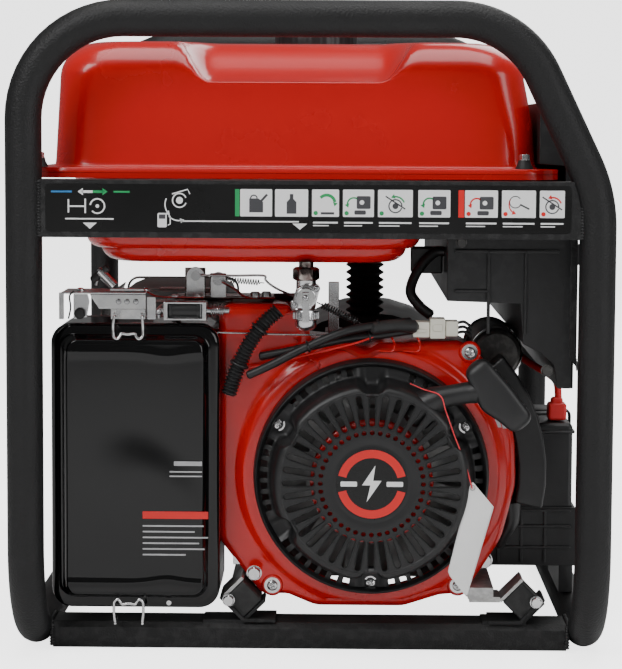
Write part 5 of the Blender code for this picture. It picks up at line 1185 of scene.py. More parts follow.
def filter_cover():
    """Pressed cover: levels of a round-cornered rectangle from the back over a flange bead and a
    rounded draw to the face, with two ribs along the top and bottom and a soft oval swelling."""
    left, right = FILTER_LOW.x, FILTER_HIGH.x
    bottom, top = FILTER_LOW.z, FILTER_HIGH.z
    back, face = FILTER_HIGH.y, FILTER_LOW.y
    levels = [(0.0, back), (0.0, back - 0.02), (0.0, face + 0.022), (0.0, face + 0.0135)]
    for share in np.linspace(0.2, 1, 5):
        levels.append((0.005 * (1 - math.cos(share * TAU / 4)), face
                + 0.0135 - 0.005 * math.sin(share * TAU / 4)))
    levels += [(0.0068, face + 0.0083), (0.0085, face + 0.0083)]
    for share in np.linspace(0.15, 1, 7):
        levels.append((0.0085 + 0.007 * share, face
                + 0.0083 - 0.0083 * (0.5 - 0.5 * math.cos(share * math.pi))))
    rows = []
    for inset, y in levels:
        corner = 0.018 - inset * 0.55
        outline = round_rectangle(left + inset, bottom + inset, right - inset, top - inset, corner, 10)
        plan = even_outline(outline, 420)
        rows.append(np.column_stack([plan[:, 0], np.full(420, y), plan[:, 1]]))
    centre = np.array([(left + right) / 2 + 0.018, face, 0.122])
    rows += [rows[-1] * (1 - share) + centre * share for share in np.linspace(0, 0.985, 56)[1:]]
    points = np.array(rows)
    x, z = points[..., 0], points[..., 2]
    on_face = smooth_step(np.arange(len(rows))[:, None] + 0 * x, len(levels) - 4, len(levels) - 1)
    middle_x = (left + right) / 2
    wave = 0.0035 * np.exp(-((x - (left + 0.104)) / 0.018) ** 2)
    ribs = 0.0014 * (np.exp(-((z - (top - 0.0245) + wave) / 0.0024) ** 2)
            + np.exp(-((z - (bottom + 0.0245) - wave) / 0.0024) ** 2))
    lean = math.radians(32)
    u = (x - (middle_x + 0.018)) * math.cos(lean) + (z - 0.122) * math.sin(lean)
    v = -(x - (middle_x + 0.018)) * math.sin(lean) + (z - 0.122) * math.cos(lean)
    oval = 0.0016 * (1 - smooth_step(np.hypot(u / 0.06, v / 0.092), 0.4, 1.0))
    points[..., 1] -= on_face * (ribs + oval)
    faces = capped_faces(len(rows), 420)
    piece("filter_cover_pressing", (points.reshape(-1, 3), faces), "gloss_black",
          replaces=("air_filter_cover",), sharp=60.0)



def filter_details():
    """Plain label stripe, grey rules, cover bead, back plate, clip wires and a drain eye."""
    y = FILTER_LOW.y - 0.0018
    flat_marks("filter_red_stripe", [round_rectangle(-0.149, 0.1222, -0.0905, 0.1288, 0.0004, 2)], y,
                "mark_red", "gloss_black")
    lines = [round_rectangle(-0.149, 0.115 - i * 0.0052, -0.0905 - d, 0.1164 - i * 0.0052, 0.0003, 2) for i,
             d in enumerate((0.004, 0.012, 0.0, 0.008, 0.003, 0.02))]
    lines += [round_rectangle(-0.121, 0.17, -0.096, 0.174, 0.0004, 2),
              round_rectangle(-0.125, 0.164, -0.096, 0.1652, 0.0003, 2),
              round_rectangle(-0.125, 0.16, -0.096, 0.1612, 0.0003, 2)]
    flat_marks("filter_grey_rules", lines, y, "mark_silver", "gloss_black")
    softened("air_filter_base", "black_plastic", bevel=0.002)
    for node, side in (("filter_clip_top", 1), ("filter_clip_bottom", -1)):
        low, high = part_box(node)
        pivot_z = high.z - 0.0015 if side > 0 else low.z + 0.0015
        x0, x1 = low.x + 0.0015, high.x - 0.0015
        y0 = (low.y + high.y) / 2
        tip = pivot_z - side * 0.0205
        route = [(x0, y0, pivot_z), (x0 - 0.0008, y0 - 0.0003, pivot_z - side * 0.006),
                 (x0 - 0.001, y0, pivot_z - side * 0.013), (x0 - 0.0004, y0 - 0.0006, tip + side * 0.002),
                 (x0 + 0.0026, y0 - 0.001, tip), (x0 + 0.0052, y0 - 0.0006, tip + side * 0.0026),
                 (x0 + 0.0064, y0, tip + side * 0.0046), ((x0 + x1) / 2, y0, tip + side * 0.004),
                 (x1 - 0.0064, y0, tip + side * 0.0046), (x1 - 0.0052, y0 - 0.0006, tip + side * 0.0026),
                 (x1 - 0.0026, y0 - 0.001, tip), (x1 + 0.0004, y0 - 0.0006, tip + side * 0.002),
                 (x1 + 0.001, y0, pivot_z - side * 0.013), (x1 + 0.0008, y0 - 0.0003, pivot_z - side * 0.006),
                  (x1, y0, pivot_z)]
        piece(f"{node}_wire", tube(smooth_path(route, 0.0008), 0.00125, 12), "zinc", node, replaces=(node,))
        legs = []
        for x in (x0, x1):
            legs.append(tube(smooth_path([(x, y0 + 0.0004, pivot_z + side * 0.0018),
                    (x, y0 + 0.006, pivot_z + side * 0.001), (x, y0 + 0.016, pivot_z - side * 0.0015)],
                    0.001), 0.0011, 10))
        piece(f"{node}_hinge_wires", legs, "zinc")
    clip_hole = lathe([(0.0, 0.0004), (0.0022, 0.0004), (0.0022, 0.0), (0.0, 0.0)],
            (-0.1263, FILTER_LOW.y + 0.0078, 0.044), -Y_AXIS, 20)
    piece("filter_drain_eye", clip_hole, "zinc")
    slot_line = [(-0.0875, -0.286, 0.139), (-0.0872, -0.2865, 0.1), (-0.0875, -0.286, 0.062)]
    piece("filter_edge_bead", tube(smooth_path(slot_line, 0.002), 0.0011, 10), "gloss_black")


filter_cover()
filter_details()


# ---- fuel valve ----
VALVE_X, VALVE_Y = -0.0045, -0.2715


def ring_round(path, number, radius, steps):
    """A circle square to a path at one of its points."""
    way = unit(path[number + 1] - path[number - 1])
    first, second = axes_across(way)
    angle = np.arange(steps) * TAU / steps
    return path[number] + radius * (np.cos(angle)[:, None] * first + np.sin(angle)[:, None] * second)


def fuel_valve():
    """Cast valve body on a hexagon nut and pipe stub, a turned filter bowl, a flat lever and two screws."""
    angle = np.arange(120) * TAU / 120
    lobes = sum(np.exp(-(((angle - turn + math.pi) % TAU - math.pi) / 0.42) ** 2)
                for turn in np.radians([38, 218]))
    reach = 0.0104 + 0.0036 * lobes
    rows = [(reach, -0.255), (reach, -0.2832), (reach - 0.0004, -0.2842), (reach - 0.0012, -0.2845),
            (0.0088 + 0 * reach, -0.2845), (0.0084 + 0 * reach, -0.2862), (0.0078 + 0 * reach, -0.2866),
            (0.006 + 0 * reach, -0.2866), (0.0056 + 0 * reach, -0.2856), (0.0004 + 0 * reach, -0.2856)]
    points = np.stack([np.column_stack([VALVE_X + r * np.cos(angle), y + 0 * r, 0.3205
            + r * np.sin(angle)]) for r, y in rows])
    faces = grid_faces(len(rows), 120).tolist() + [list(range(120))[::-1],
            list(range((len(rows) - 1) * 120, len(rows) * 120))]
    stem = [(0.0, 0.0), (0.0078, 0.0), (0.009, 0.003), (0.009, 0.033), (0.0, 0.033)]
    piece("valve_casting", [(points.reshape(-1, 3), faces), lathe(stem, (VALVE_X, -0.268, 0.308), Z_AXIS,
            40)], "zinc", replaces=("fuel_valve_body",))
    nut = [(0.0, 0.0118), (0.0098, 0.0118), (0.012, 0.0102), (0.012, 0.0014), (0.01, 0.0), (0.0, 0.0)]
    stub = [(0.0, 0.005), (0.0066, 0.005), (0.0066, 0.0), (0.0, 0.0)]
    piece("valve_nut", [lathe(nut, (VALVE_X, VALVE_Y, 0.3346), Z_AXIS, 36, hexagon(0.0208)),
            lathe(stub, (VALVE_X, VALVE_Y, 0.3462), Z_AXIS, 36)], "dark_zinc")
    cup = [(0.0, 0.0178), (0.0108, 0.0178), (0.0112, 0.0166), (0.0112, 0.0098), (0.01, 0.009), (0.01, 0.005),
            (0.0092, 0.0026), (0.0074, 0.0012), (0.006, 0.0), (0.0, 0.0)]
    piece("sediment_bowl", lathe(cup, (VALVE_X, VALVE_Y, 0.2898), Z_AXIS, 40), "zinc",
          replaces=("sediment_cup",))
    notches = [tube(np.array([(VALVE_X + 0.0112 * math.cos(a), VALVE_Y + 0.0112 * math.sin(a), 0.3002),
            (VALVE_X + 0.0112 * math.cos(a), VALVE_Y + 0.0112 * math.sin(a), 0.306)]), 0.0007, 8)
               for a in np.arange(24) * TAU / 24]
    piece("sediment_bowl_knurls", notches, "zinc")
    screws = cross_screw((VALVE_X + 0.0096, -0.2846, 0.328), -Y_AXIS, 0.0024)
    screws += cross_screw((VALVE_X - 0.0096, -0.2846, 0.313), -Y_AXIS, 0.0024)
    piece("valve_screws", screws, "steel")
    softened("fuel_valve_lever", "zinc", "fuel_valve_lever", bevel=0.0009)
    piece("valve_lever_pin", cross_screw((VALVE_X, -0.2918, 0.32), -Y_AXIS, 0.0026, 1.1), "steel",
           "fuel_valve_lever")
    route = smooth_path([(-0.0045, -0.252, 0.32), (-0.0055, -0.234, 0.3185), (-0.012, -0.208, 0.315),
            (-0.035, -0.187, 0.313), (-0.062, -0.179, 0.3125), (-0.088, -0.1785, 0.313),
            (-0.108, -0.179, 0.3135), (-0.1215, -0.1795, 0.3095), (-0.1278, -0.18, 0.303),
            (-0.128, -0.18, 0.2963)], 0.0015)
    piece("fuel_hose_skin", tube(route, 0.0038, 20), "rubber", replaces=("fuel_hose",))
    clamps = []
    for number in (4, -5):
        ring = ring_round(route, number, 0.0043, 36)
        clamps.append(tube(ring, 0.0007, 8, closed=True))
        clamps.append(tube(np.array([ring[0], ring[0] + (ring[0] - route[number]) * 1.3]), 0.0009, 8))
    piece("fuel_hose_clamps", clamps, "zinc")


# ---- throttle and choke controls ----
def coil_spring(start, end, radius, wire, turns, slots=18):
    """Helix between two points: the angle grows evenly along the axis, with a straight hook at each end."""
    start, end = np.array(start, float), np.array(end, float)
    way = unit(end - start)
    first, second = axes_across(way)
    share = np.linspace(0, 1, turns * slots)
    angle = share * turns * TAU
    fade = np.minimum(1, np.minimum(share, 1 - share) * turns * 1.4)[:, None]
    spot = start + (end - start) * (0.1 + 0.8 * share[:, None]) + radius * fade * (np.cos(angle)[:,
            None] * first + np.sin(angle)[:, None] * second)
    return tube(np.concatenate([[start], spot, [end]]), wire, 8)


def pierced_tab(centre, half_wide, low, high, hole, thickness=0.0016):
    """An upright tab with a round top, drawn as an outline, and a round eye on its face: a steel rim round a
    black disc of painted shade in place of the hole.
    """
    x, y = centre
    outline = np.concatenate([[(x - half_wide, low), (x + half_wide, low)],
            circle(x, high - half_wide, half_wide, 14, 0.0, TAU / 2)])
    eye = lathe([(hole, 0.0004), (hole + 0.0016, 0.0004), (hole + 0.0016, 0.0), (hole, 0.0)],
                (x, y - 0.0001, high - half_wide), -Y_AXIS, 24)
    # painted shade: a flat black disc on the tab's face stands in for the dark opening of a hole that is not
    # cut
    dark = lathe([(0.0, 0.0002), (hole, 0.0002), (hole, 0.0), (0.0, 0.0)], (x, y - 0.0001, high - half_wide),
                  -Y_AXIS, 24)
    return plate(outline, thickness, (0, y + thickness, 0)), eye, dark


def engine_controls():
    """Pressed brackets with rivets and screws, tabs, pull rods, springs and the stop solenoid."""
    bracket = [plate(np.array([(-0.1975, 0.3216), (-0.1475, 0.3216), (-0.1475, 0.3085), (-0.189, 0.3085),
            (-0.1935, 0.315)]), 0.0014, (0, -0.2811, 0)), plate(np.array([(-0.179, 0.3085), (-0.148, 0.3085),
             (-0.148, 0.299), (-0.179, 0.299)]), 0.0014, (0, -0.278, 0)),
               block((-0.223, -0.2825, 0.3218), (-0.1475, -0.2335, 0.3234)),
               plate(np.array([(-0.1465, 0.3195), (-0.1385, 0.3195), (-0.1385, 0.299), (-0.1465, 0.299)]),
             0.0014, (0, -0.279, 0)), plate(np.array([(-0.225, 0.323), (-0.2205, 0.3234), (-0.2205, 0.299),
            (-0.225, 0.299)]), 0.0014, (0, -0.2811, 0)), plate(np.array([(-0.212, 0.3216), (-0.199, 0.3216),
            (-0.1975, 0.315), (-0.2, 0.301), (-0.212, 0.299)]), 0.0014, (0, -0.2811, 0))]
    piece("choke_bracket", bracket, "zinc", replaces=("control_bracket",), bevel=0.0005)
    loop = smooth_path([(-0.216, -0.286, 0.3), (-0.214, -0.2865, 0.31), (-0.215, -0.286, 0.32),
            (-0.212, -0.28, 0.324)], 0.001)
    piece("cable_loop", tube(loop, 0.0008, 10), "black_plastic")
    softened("choke_lever", "zinc", "choke_lever", bevel=0.0007)
    softened("throttle_bracket", "dark_zinc", bevel=0.0008)
    softened("governor_arm", "zinc", "governor_arm", bevel=0.0007)
    softened("carburettor", "cast_alloy", bevel=0.0016)
    softened("throttle_solenoid", "zinc", bevel=0.001)
    softened("solenoid_plunger", "steel", "solenoid_plunger", bevel=0.0005)
    sleeve = bent_path([(-0.193, -0.2705, 0.329), (-0.1905, -0.2705, 0.343), (-0.186, -0.2705, 0.344)],
            [0, 0.004, 0], 6)
    piece("choke_lever_sleeve", tube(np.array([(-0.196, -0.2705, 0.3335), (-0.183, -0.2705, 0.3445)]), 0.0036,
             24), "rubber", "choke_lever")
    piece("choke_lever_bend", tube(sleeve, 0.0014, 10), "steel", "choke_lever")
    coil = [(0.0, 0.0), (0.0086, 0.0), (0.0086, 0.0026), (0.0078, 0.003), (0.0078, 0.025), (0.0086, 0.0254),
            (0.0086, 0.028), (0.0, 0.028)]
    piece("solenoid_coil", lathe(coil, (-0.1265, -0.2775, 0.3075), X_AXIS, 40), "black_plastic")
    piece("solenoid_spring", coil_spring((-0.092, -0.276, 0.3073), (-0.0745, -0.276, 0.3073), 0.0044, 0.0006,
             7), "steel")
    rivets = [lathe([(0.0, 0.0016), (0.0018, 0.0013), (0.0026, 0.0), (0.0, 0.0)], (x, -0.2826, z), -Y_AXIS,
            20) for x, z in ((-0.1715, 0.3152), (-0.164, 0.3152), (-0.156, 0.3152))]
    piece("control_bracket_rivets", rivets, "steel")
    heads = []
    for x, y in ((-0.164, -0.262), (-0.15, -0.26), (-0.208, -0.262)):
        heads += cross_screw((x, y, 0.3242), Z_AXIS, 0.0034)
    piece("control_bracket_screws", heads, "zinc")
    parts = [block((-0.1515, -0.23, 0.3096), (-0.064, -0.196, 0.3112)),
             block((-0.14, -0.224, 0.3216), (-0.09, -0.2, 0.323))]
    piece("dark_control_plates", parts, "dark_zinc", bevel=0.0005)
    strap = smooth_path([(-0.15, -0.262, 0.324), (-0.142, -0.2622, 0.3195), (-0.133, -0.2625, 0.318),
            (-0.116, -0.2625, 0.3178), (-0.0985, -0.2625, 0.3178)], 0.0012)
    piece("slanted_strap", tube(strap, 0.0046, 16, flat=0.22), "zinc")
    heads = []
    for x in (-0.123, -0.102):
        heads += cross_screw((x, -0.2625, 0.319), Z_AXIS, 0.003)
    piece("slanted_strap_screws", heads, "steel")
    tabs, eyes, hole_shade_discs = zip(*[pierced_tab(*values) for values in (((-0.1058, -0.2385), 0.0082, 0.316, 0.344,
             0.0028), ((-0.085, -0.238), 0.007, 0.316, 0.3395, 0.0038))])
    piece("throttle_tabs", list(tabs), "zinc", bevel=0.0004)
    piece("throttle_tab_rims", list(eyes), "steel")
    # black discs of painted shade stand in for the openings of the tab holes
    piece("throttle_tab_holes", list(hole_shade_discs), "black_plastic")
    rods = [tube(smooth_path([(-0.101, -0.242, 0.3362), (-0.088, -0.2425, 0.3368), (-0.07, -0.2425, 0.3364),
            (-0.044, -0.2425, 0.3366), (-0.042, -0.2425, 0.333), (-0.038, -0.2425, 0.329),
            (-0.03, -0.242, 0.324), (-0.017, -0.236, 0.318)], 0.001), 0.0011, 10),
            tube(smooth_path([(-0.085, -0.272, 0.2872), (-0.06, -0.2716, 0.2866), (-0.02, -0.2712, 0.2856),
            (0.015, -0.2706, 0.2852)], 0.002), 0.0009, 10)]
    piece("pull_rods", rods, "steel")
    piece("governor_springs", [coil_spring((0.005, -0.248, 0.313), (0.0465, -0.252, 0.2935), 0.003, 0.0006,
            16), coil_spring((-0.078, -0.244, 0.333), (-0.043, -0.244, 0.33), 0.0024, 0.0005, 12)],
           "dark_steel", ink="spring_steel")
    step = smooth_path([(-0.08, -0.244, 0.33), (-0.069, -0.244, 0.324), (-0.0585, -0.244, 0.3172),
            (-0.035, -0.244, 0.3168)], 0.0012)
    piece("stepped_strip", tube(step, 0.0056, 16, flat=0.2), "zinc")
    bolts = hex_bolt((-0.051, -0.247, 0.3182), Z_AXIS, 0.0074) + hex_bolt((-0.041, -0.243, 0.3182), Z_AXIS,
             0.0074)
    bolts += hex_bolt((-0.129, -0.212, 0.3112), Z_AXIS, 0.008)
    piece("control_bolts", bolts, "steel")
    ball = lathe([(0.0, 0.0085), (0.0022, 0.008), (0.0032, 0.0062), (0.003, 0.0044), (0.0018, 0.0034),
                  (0.0018, 0.0), (0.0, 0.0)], (-0.136, -0.278, 0.3), Z_AXIS, 24)
    piece("ball_stud", ball, "steel")
    grommet = [(0.0, 0.0), (0.005, 0.0), (0.005, 0.003), (0.0038, 0.004), (0.0038, 0.007), (0.0, 0.0075)]
    piece("bracket_grommet", lathe(grommet, (-0.206, -0.2826, 0.3045), -Y_AXIS, 24), "rubber")


# ---- wiring ----
def wiring():
    """Ribbed conduit, sleeved leads, a strap lead, the stepped plug housing and its wires."""
    conduit = smooth_path([(-0.029, -0.279, 0.308), (-0.042, -0.28, 0.296), (-0.056, -0.28, 0.276),
            (-0.0665, -0.279, 0.253), (-0.0735, -0.278, 0.232)], 0.0004)
    ribs = 0.0064 + 0.0009 * np.sin(np.arange(len(conduit)) * TAU / 8.0)
    piece("ribbed_conduit", tube(conduit, ribs, 24, round_ends=False), "black_plastic",
          replaces=("wire_conduit",))
    lower = smooth_path([(-0.045, -0.274, 0.266), (-0.024, -0.2745, 0.27), (0, -0.2745, 0.2755),
            (0.033, -0.274, 0.2825), (0.064, -0.273, 0.286), (0.089, -0.27, 0.29)], 0.002)
    piece("lower_lead_sleeve", tube(lower, 0.0038, 20), "black_plastic", replaces=("lead_lower",))
    upper = smooth_path([(-0.0555, -0.284, 0.25), (-0.034, -0.284, 0.26), (-0.007, -0.284, 0.274),
            (0.03, -0.2835, 0.2895), (0.062, -0.279, 0.2955), (0.089, -0.272, 0.298)], 0.002)
    piece("upper_lead_sleeve", tube(upper, 0.0038, 20), "black_plastic", replaces=("lead_upper",))
    strap = smooth_path([(0.12, -0.23, 0.359), (0.111, -0.2305, 0.3575), (0.097, -0.233, 0.342),
            (0.09, -0.237, 0.323), (0.098, -0.242, 0.31), (0.108, -0.2445, 0.302)], 0.002)
    piece("strap_lead_sleeve", tube(strap, 0.0058, 20, flat=0.8), "black_plastic", replaces=("strap_lead",))
    ties = []
    for path, number, radius in ((conduit, 60, 0.0078), (conduit, 150, 0.0078), (lower, 22, 0.0044),
            (upper, 30, 0.0044), (upper, 62, 0.0046), (lower, 50, 0.0044)):
        number = min(number, len(path) - 3)
        ties.append(tube(ring_round(path, number, radius, 32), 0.001, 8, closed=True))
    piece("wiring_ties", ties, "black_plastic")
    tape = [tube(smooth_path([(0.056, -0.279, 0.2925), (0.074, -0.2765, 0.2945), (0.093, -0.272, 0.2935)],
             0.002), 0.0078, 20, flat=0.75)]
    piece("taped_bundle", tape, "rubber")
    low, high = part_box("wire_connector")
    shell = [block((low.x, low.y + 0.001, low.z + 0.001), (low.x + 0.015, high.y, high.z - 0.003)),
             block((low.x + 0.0152, low.y, low.z), (low.x + 0.029, high.y, high.z)),
             block((low.x + 0.0292, low.y + 0.0015, low.z + 0.002),
            (high.x, high.y - 0.001, high.z - 0.0022))]
    piece("plug_housing", shell, "white_nylon", replaces=("wire_connector",), bevel=0.0012)
    latch = [block((low.x + 0.018, low.y - 0.0014, low.z + 0.007),
            (low.x + 0.0262, low.y + 0.0004, high.z - 0.005)),
             block((low.x + 0.0035, low.y - 0.0006, low.z + 0.006),
            (low.x + 0.012, low.y + 0.0014, low.z + 0.0085))]
    piece("plug_latch", latch, "white_nylon", bevel=0.0005)
    wires = []
    for number, drop in enumerate((0.0045, 0.0, -0.0045)):
        z = (low.z + high.z) / 2 + drop
        wires.append(tube(smooth_path([(high.x - 0.001, -0.265, z), (high.x + 0.006, -0.266, z + 0.001),
                (high.x + 0.012, -0.262 + 0.002 * number, z - 0.005),
                (high.x + 0.009, -0.255 + 0.002 * number, z - 0.012)], 0.001), 0.0014, 10))
        wires.append(tube(smooth_path([(low.x + 0.001, -0.265, z), (low.x - 0.006, -0.267, z),
                (low.x - 0.014, -0.27, z - 0.001)], 0.001), 0.0014, 10))
    piece("plug_wires", wires, "black_plastic")
    piece("red_wire", tube(smooth_path([(0.074, -0.27, 0.291), (0.04, -0.28, 0.279), (0.0, -0.2795, 0.269),
            (-0.04, -0.279, 0.259), (-0.06, -0.277, 0.255)], 0.002), 0.001, 10), "red_string", ink="red_boot")
    box = [block((0.0905, -0.228, 0.3385), (0.1195, -0.206, 0.3625))]
    piece("black_relay", box, "black_plastic", bevel=0.002)
    height = np.linspace(0, 1, 81)
    bellow = 0.0165 + 0.0022 * np.sin(height * 7 * TAU)
    profile = [(0.0, 0.052)] + [(r, 0.052 * (1 - h)) for r, h in zip(bellow, height)] + [(0.0, 0.0)]
    piece("breather_bellows", lathe(profile, (0.05, -0.07, 0.287), Z_AXIS, 48), "rubber")


fuel_valve()
engine_controls()
wiring()


# ---- control box and its panel ----
PANEL_FACE = 0.2388


def control_box_details():
    """Moulded front with a raised border and rib, and screws along the panel's edge."""
    softened("control_box", "black_plastic", bevel=0.0035, segments=3)
    softened("panel_plate", "panel_paint", bevel=0.0012)
    ribs = [block((0.156, -0.2925, 0.289), (0.159, -0.2895, 0.364)),
            block((0.189, -0.2925, 0.289), (0.1915, -0.2895, 0.364)),
            block((0.1275, -0.2925, 0.361), (0.22, -0.2895, 0.364)),
            block((0.1275, -0.2925, 0.326), (0.159, -0.2895, 0.3285))]
    piece("control_box_ribs", ribs, "black_plastic", bevel=0.0009)
    bolts = hex_bolt((0.2104, -0.2905, 0.2566), -Y_AXIS, 0.009) + hex_bolt((0.133, -0.2905, 0.37), -Y_AXIS,
             0.008)
    piece("control_box_bolts", bolts, "dark_steel")
    screws = []
    for y in (-0.27, -0.1, 0.1, 0.27):
        for z in (0.26, 0.44):
            screws += cross_screw((PANEL_FACE + 0.0002, y, z), X_AXIS, 0.0042)
    piece("panel_screws", screws, "zinc")
    for number, y in ((1, 0.01), (2, 0.09)):
        socket_details(number, y)
    dial(-0.195, 0.4)
    dial(-0.105, 0.415)
    key = [(0.0, 0.0), (0.0145, 0.0), (0.0145, 0.0024), (0.012, 0.0036), (0.0, 0.0036)]
    piece("key_collar", lathe(key, (PANEL_FACE, -0.14, 0.352), X_AXIS, 40), "steel")
    softened("ignition_key", "black_plastic", "ignition_key", bevel=0.001)
    softened("breaker_button", "gloss_black", "breaker_button", bevel=0.0008)
    collar = [(0.0072, 0.0), (0.011, 0.0), (0.011, 0.0016), (0.009, 0.003), (0.0072, 0.003)]
    piece("breaker_collar", lathe(collar, (PANEL_FACE, -0.07, 0.352), X_AXIS, 36), "steel")
    ground = hex_bolt((PANEL_FACE + 0.001, 0.195, 0.276), X_AXIS, 0.01)
    ground.append(lathe([(0.0, 0.014), (0.003, 0.014), (0.003, 0.0), (0.0, 0.0)],
            (PANEL_FACE + 0.001, 0.195, 0.276), X_AXIS, 20))
    piece("earth_stud", ground, "zinc")
    strips = []
    for y0, y1, z in ((-0.03, 0.13, 0.399), (-0.175, -0.105, 0.315)):
        strips.append(block((PANEL_FACE - 0.0004, y0, z - 0.001), (PANEL_FACE + 0.0002, y1, z + 0.001)))
    piece("panel_plain_lines", strips, "panel_paint", ink="mark_white")
    lamps = [lathe([(0.0, 0.004), (0.003, 0.0034), (0.0042, 0.0015), (0.0042, 0.0), (0.0, 0.0)],
            (PANEL_FACE, y, 0.435), X_AXIS, 28) for y in (0.01, 0.034)]
    piece("panel_lamps", lamps, "gloss_black", ink="mark_green")


def socket_details(number, y):
    """Outlet face: a square flange, a round well with three slots, and a hinged lid held open above."""
    centre = np.array([0.2396, y, 0.352])
    softened(f"socket_{number}", "black_plastic", bevel=0.0012)
    well = [(0.0, -0.006), (0.0182, -0.006), (0.019, -0.0052), (0.0194, 0.0002), (0.0206, 0.0012),
            (0.0222, 0.0012), (0.0232, 0.0), (0.0232, -0.001)]
    piece(f"socket_well_{number}", lathe(well, centre, X_AXIS, 56), "black_plastic")
    pins = []
    for across, up in ((-0.008, 0.0045), (0.008, 0.0045), (0.0, -0.009)):
        pins.append(lathe([(0.0, 0.001), (0.0023, 0.001), (0.0029, 0.0002), (0.0029, -0.001), (0.0, -0.001)],
                 centre + (-0.0058, across, up), X_AXIS, 20))
    piece(f"socket_pin_holes_{number}", pins, "steel")
    corners = []
    for across in (-0.0245, 0.0245):
        for up in (-0.0245, 0.0245):
            corners += cross_screw(centre + (0.0002, across, up), X_AXIS, 0.0026, 1.1)
    piece(f"socket_screws_{number}", corners, "zinc")
    lid = [(0.0, 0.0042), (0.018, 0.004), (0.0222, 0.0024), (0.023, 0.0), (0.023, -0.0022), (0.0, -0.0022)]
    piece(f"socket_lid_{number}", lathe(lid, centre + (-0.001 + 0.003, 0.0, 0.052), X_AXIS, 48),
           "black_plastic")
    hinge = np.array([centre + (0.0018, -0.016, 0.0292), centre + (0.0018, 0.016, 0.0292)])
    piece(f"socket_hinge_{number}", tube(hinge, 0.0026, 16), "black_plastic")


def dial(y, z):
    """Round gauge: a turned bezel, a white face, an arc of strokes and a needle."""
    centre = np.array([PANEL_FACE, y, z])
    bezel = [(0.019, 0.0014), (0.0198, 0.0042), (0.0212, 0.0052), (0.0228, 0.0046), (0.0236, 0.0),
             (0.019, 0.0)]
    piece(f"dial_bezel_{-y:.3f}", lathe(bezel, centre, X_AXIS, 64), "black_plastic")
    face = [(0.0, 0.0016), (0.0196, 0.0016), (0.0196, 0.0), (0.0, 0.0)]
    piece(f"dial_face_{-y:.3f}", lathe(face, centre, X_AXIS, 64), "gloss_black", ink="dial_glass")
    strokes = []
    for step, turn in enumerate(np.radians(np.linspace(-40, 220, 14))):
        way = np.array([0.0, math.cos(turn), math.sin(turn)])
        inner = 0.0125 if step % 3 == 0 else 0.014
        strokes.append(tube(np.array([centre + way * inner, centre + way * 0.0165]) + (0.0017, 0, 0), 0.0004,
                 6))
    needle = np.array([0.0, math.cos(2.3), math.sin(2.3)])
    strokes.append(tube(np.array([centre - needle * 0.003, centre + needle * 0.013]) + (0.0022, 0, 0), 0.0006,
             6))
    strokes.append(lathe([(0.0, 0.0032), (0.0024, 0.003), (0.0028, 0.0), (0.0, 0.0)], centre, X_AXIS, 20))
    piece(f"dial_marks_{-y:.3f}", strokes, "black_plastic")


# ---- battery and tray ----
def battery_details():
    """Case with a stepped lid, vent strip, two posts, a red boot with its lead and a strap over it."""
    low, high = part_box("battery")
    softened("battery", "black_plastic", bevel=0.0022, segments=3)
    softened("battery_tray", "black_plastic", bevel=0.0018)
    lip = [(low.x - 0.0008, low.y - 0.0008), (high.x + 0.0008, low.y - 0.0008),
           (high.x + 0.0008, high.y + 0.0008), (low.x - 0.0008, high.y + 0.0008)]
    path = bent_path([(x, y, 0.187) for x, y in lip], [0.004] * 4, 5, closed=True)
    piece("battery_lid_seam", tube(path, 0.0015, 12, closed=True), "black_plastic")
    caps = [lathe([(0.0, 0.003), (0.007, 0.0026), (0.0078, 0.0), (0.0, 0.0)], (0.202, y, 0.1952), Z_AXIS,
                  28) for y in (-0.15, -0.12, -0.09, -0.06)]
    piece("battery_vent_caps", caps, "black_plastic")
    boot = [block((0.2225, -0.1745, 0.197), (0.24, -0.155, 0.2135)),
            block((0.2255, -0.17, 0.21), (0.237, -0.159, 0.2185))]
    piece("battery_red_boot", boot, "gloss_black", ink="red_boot", bevel=0.003, segments=3)
    lead = smooth_path([(0.233, -0.164, 0.216), (0.231, -0.164, 0.232), (0.223, -0.16, 0.24),
            (0.208, -0.15, 0.248), (0.196, -0.14, 0.256)], 0.002)
    piece("battery_red_lead", tube(lead, 0.0034, 18), "gloss_black", ink="red_boot")
    black = smooth_path([(0.208, -0.048, 0.2), (0.205, -0.048, 0.214), (0.196, -0.04, 0.21),
            (0.18, -0.025, 0.18)], 0.002)
    piece("battery_black_lead", tube(black, 0.0032, 18), "rubber")
    posts = hex_bolt((0.208, -0.048, 0.1955), Z_AXIS, 0.01)
    piece("battery_post", posts, "zinc")
    ribs = [block((0.16, -0.1862, z - 0.0013), (0.244, -0.1832, z + 0.0013)) for z in (0.078, 0.098, 0.113)]
    ribs += [block((x - 0.0014, -0.1858, 0.064), (x + 0.0014, -0.1832, 0.113)) for x in (0.176, 0.198, 0.22)]
    ribs += [block((0.2482, y - 0.0014, 0.064), (0.2505, y + 0.0014, 0.113))
             for y in (-0.155, -0.105, -0.055)]
    piece("tray_ribs", ribs, "black_plastic", bevel=0.0006)
    hold = bent_path([(0.154, -0.105, 0.065), (0.154, -0.105, 0.1992), (0.2495, -0.105, 0.1992),
            (0.2495, -0.105, 0.065)], [0, 0.006, 0.006, 0], 5)
    piece("battery_hold_strap", tube(hold, 0.008, 16, flat=0.18), "rubber")
    softened("side_duct", "black_plastic", bevel=0.003, segments=3)
    tail = smooth_path([(0.183, -0.231, 0.129), (0.184, -0.231, 0.113), (0.179, -0.229, 0.1),
            (0.174, -0.226, 0.088)], 0.002)
    piece("side_duct_tail", tube(tail, np.linspace(0.015, 0.007, len(tail)), 24, flat=0.7), "black_plastic")
    piece("side_junction_box", [block((0.1735, -0.24, 0.138), (0.188, -0.208, 0.164))], "black_plastic",
          bevel=0.0025)


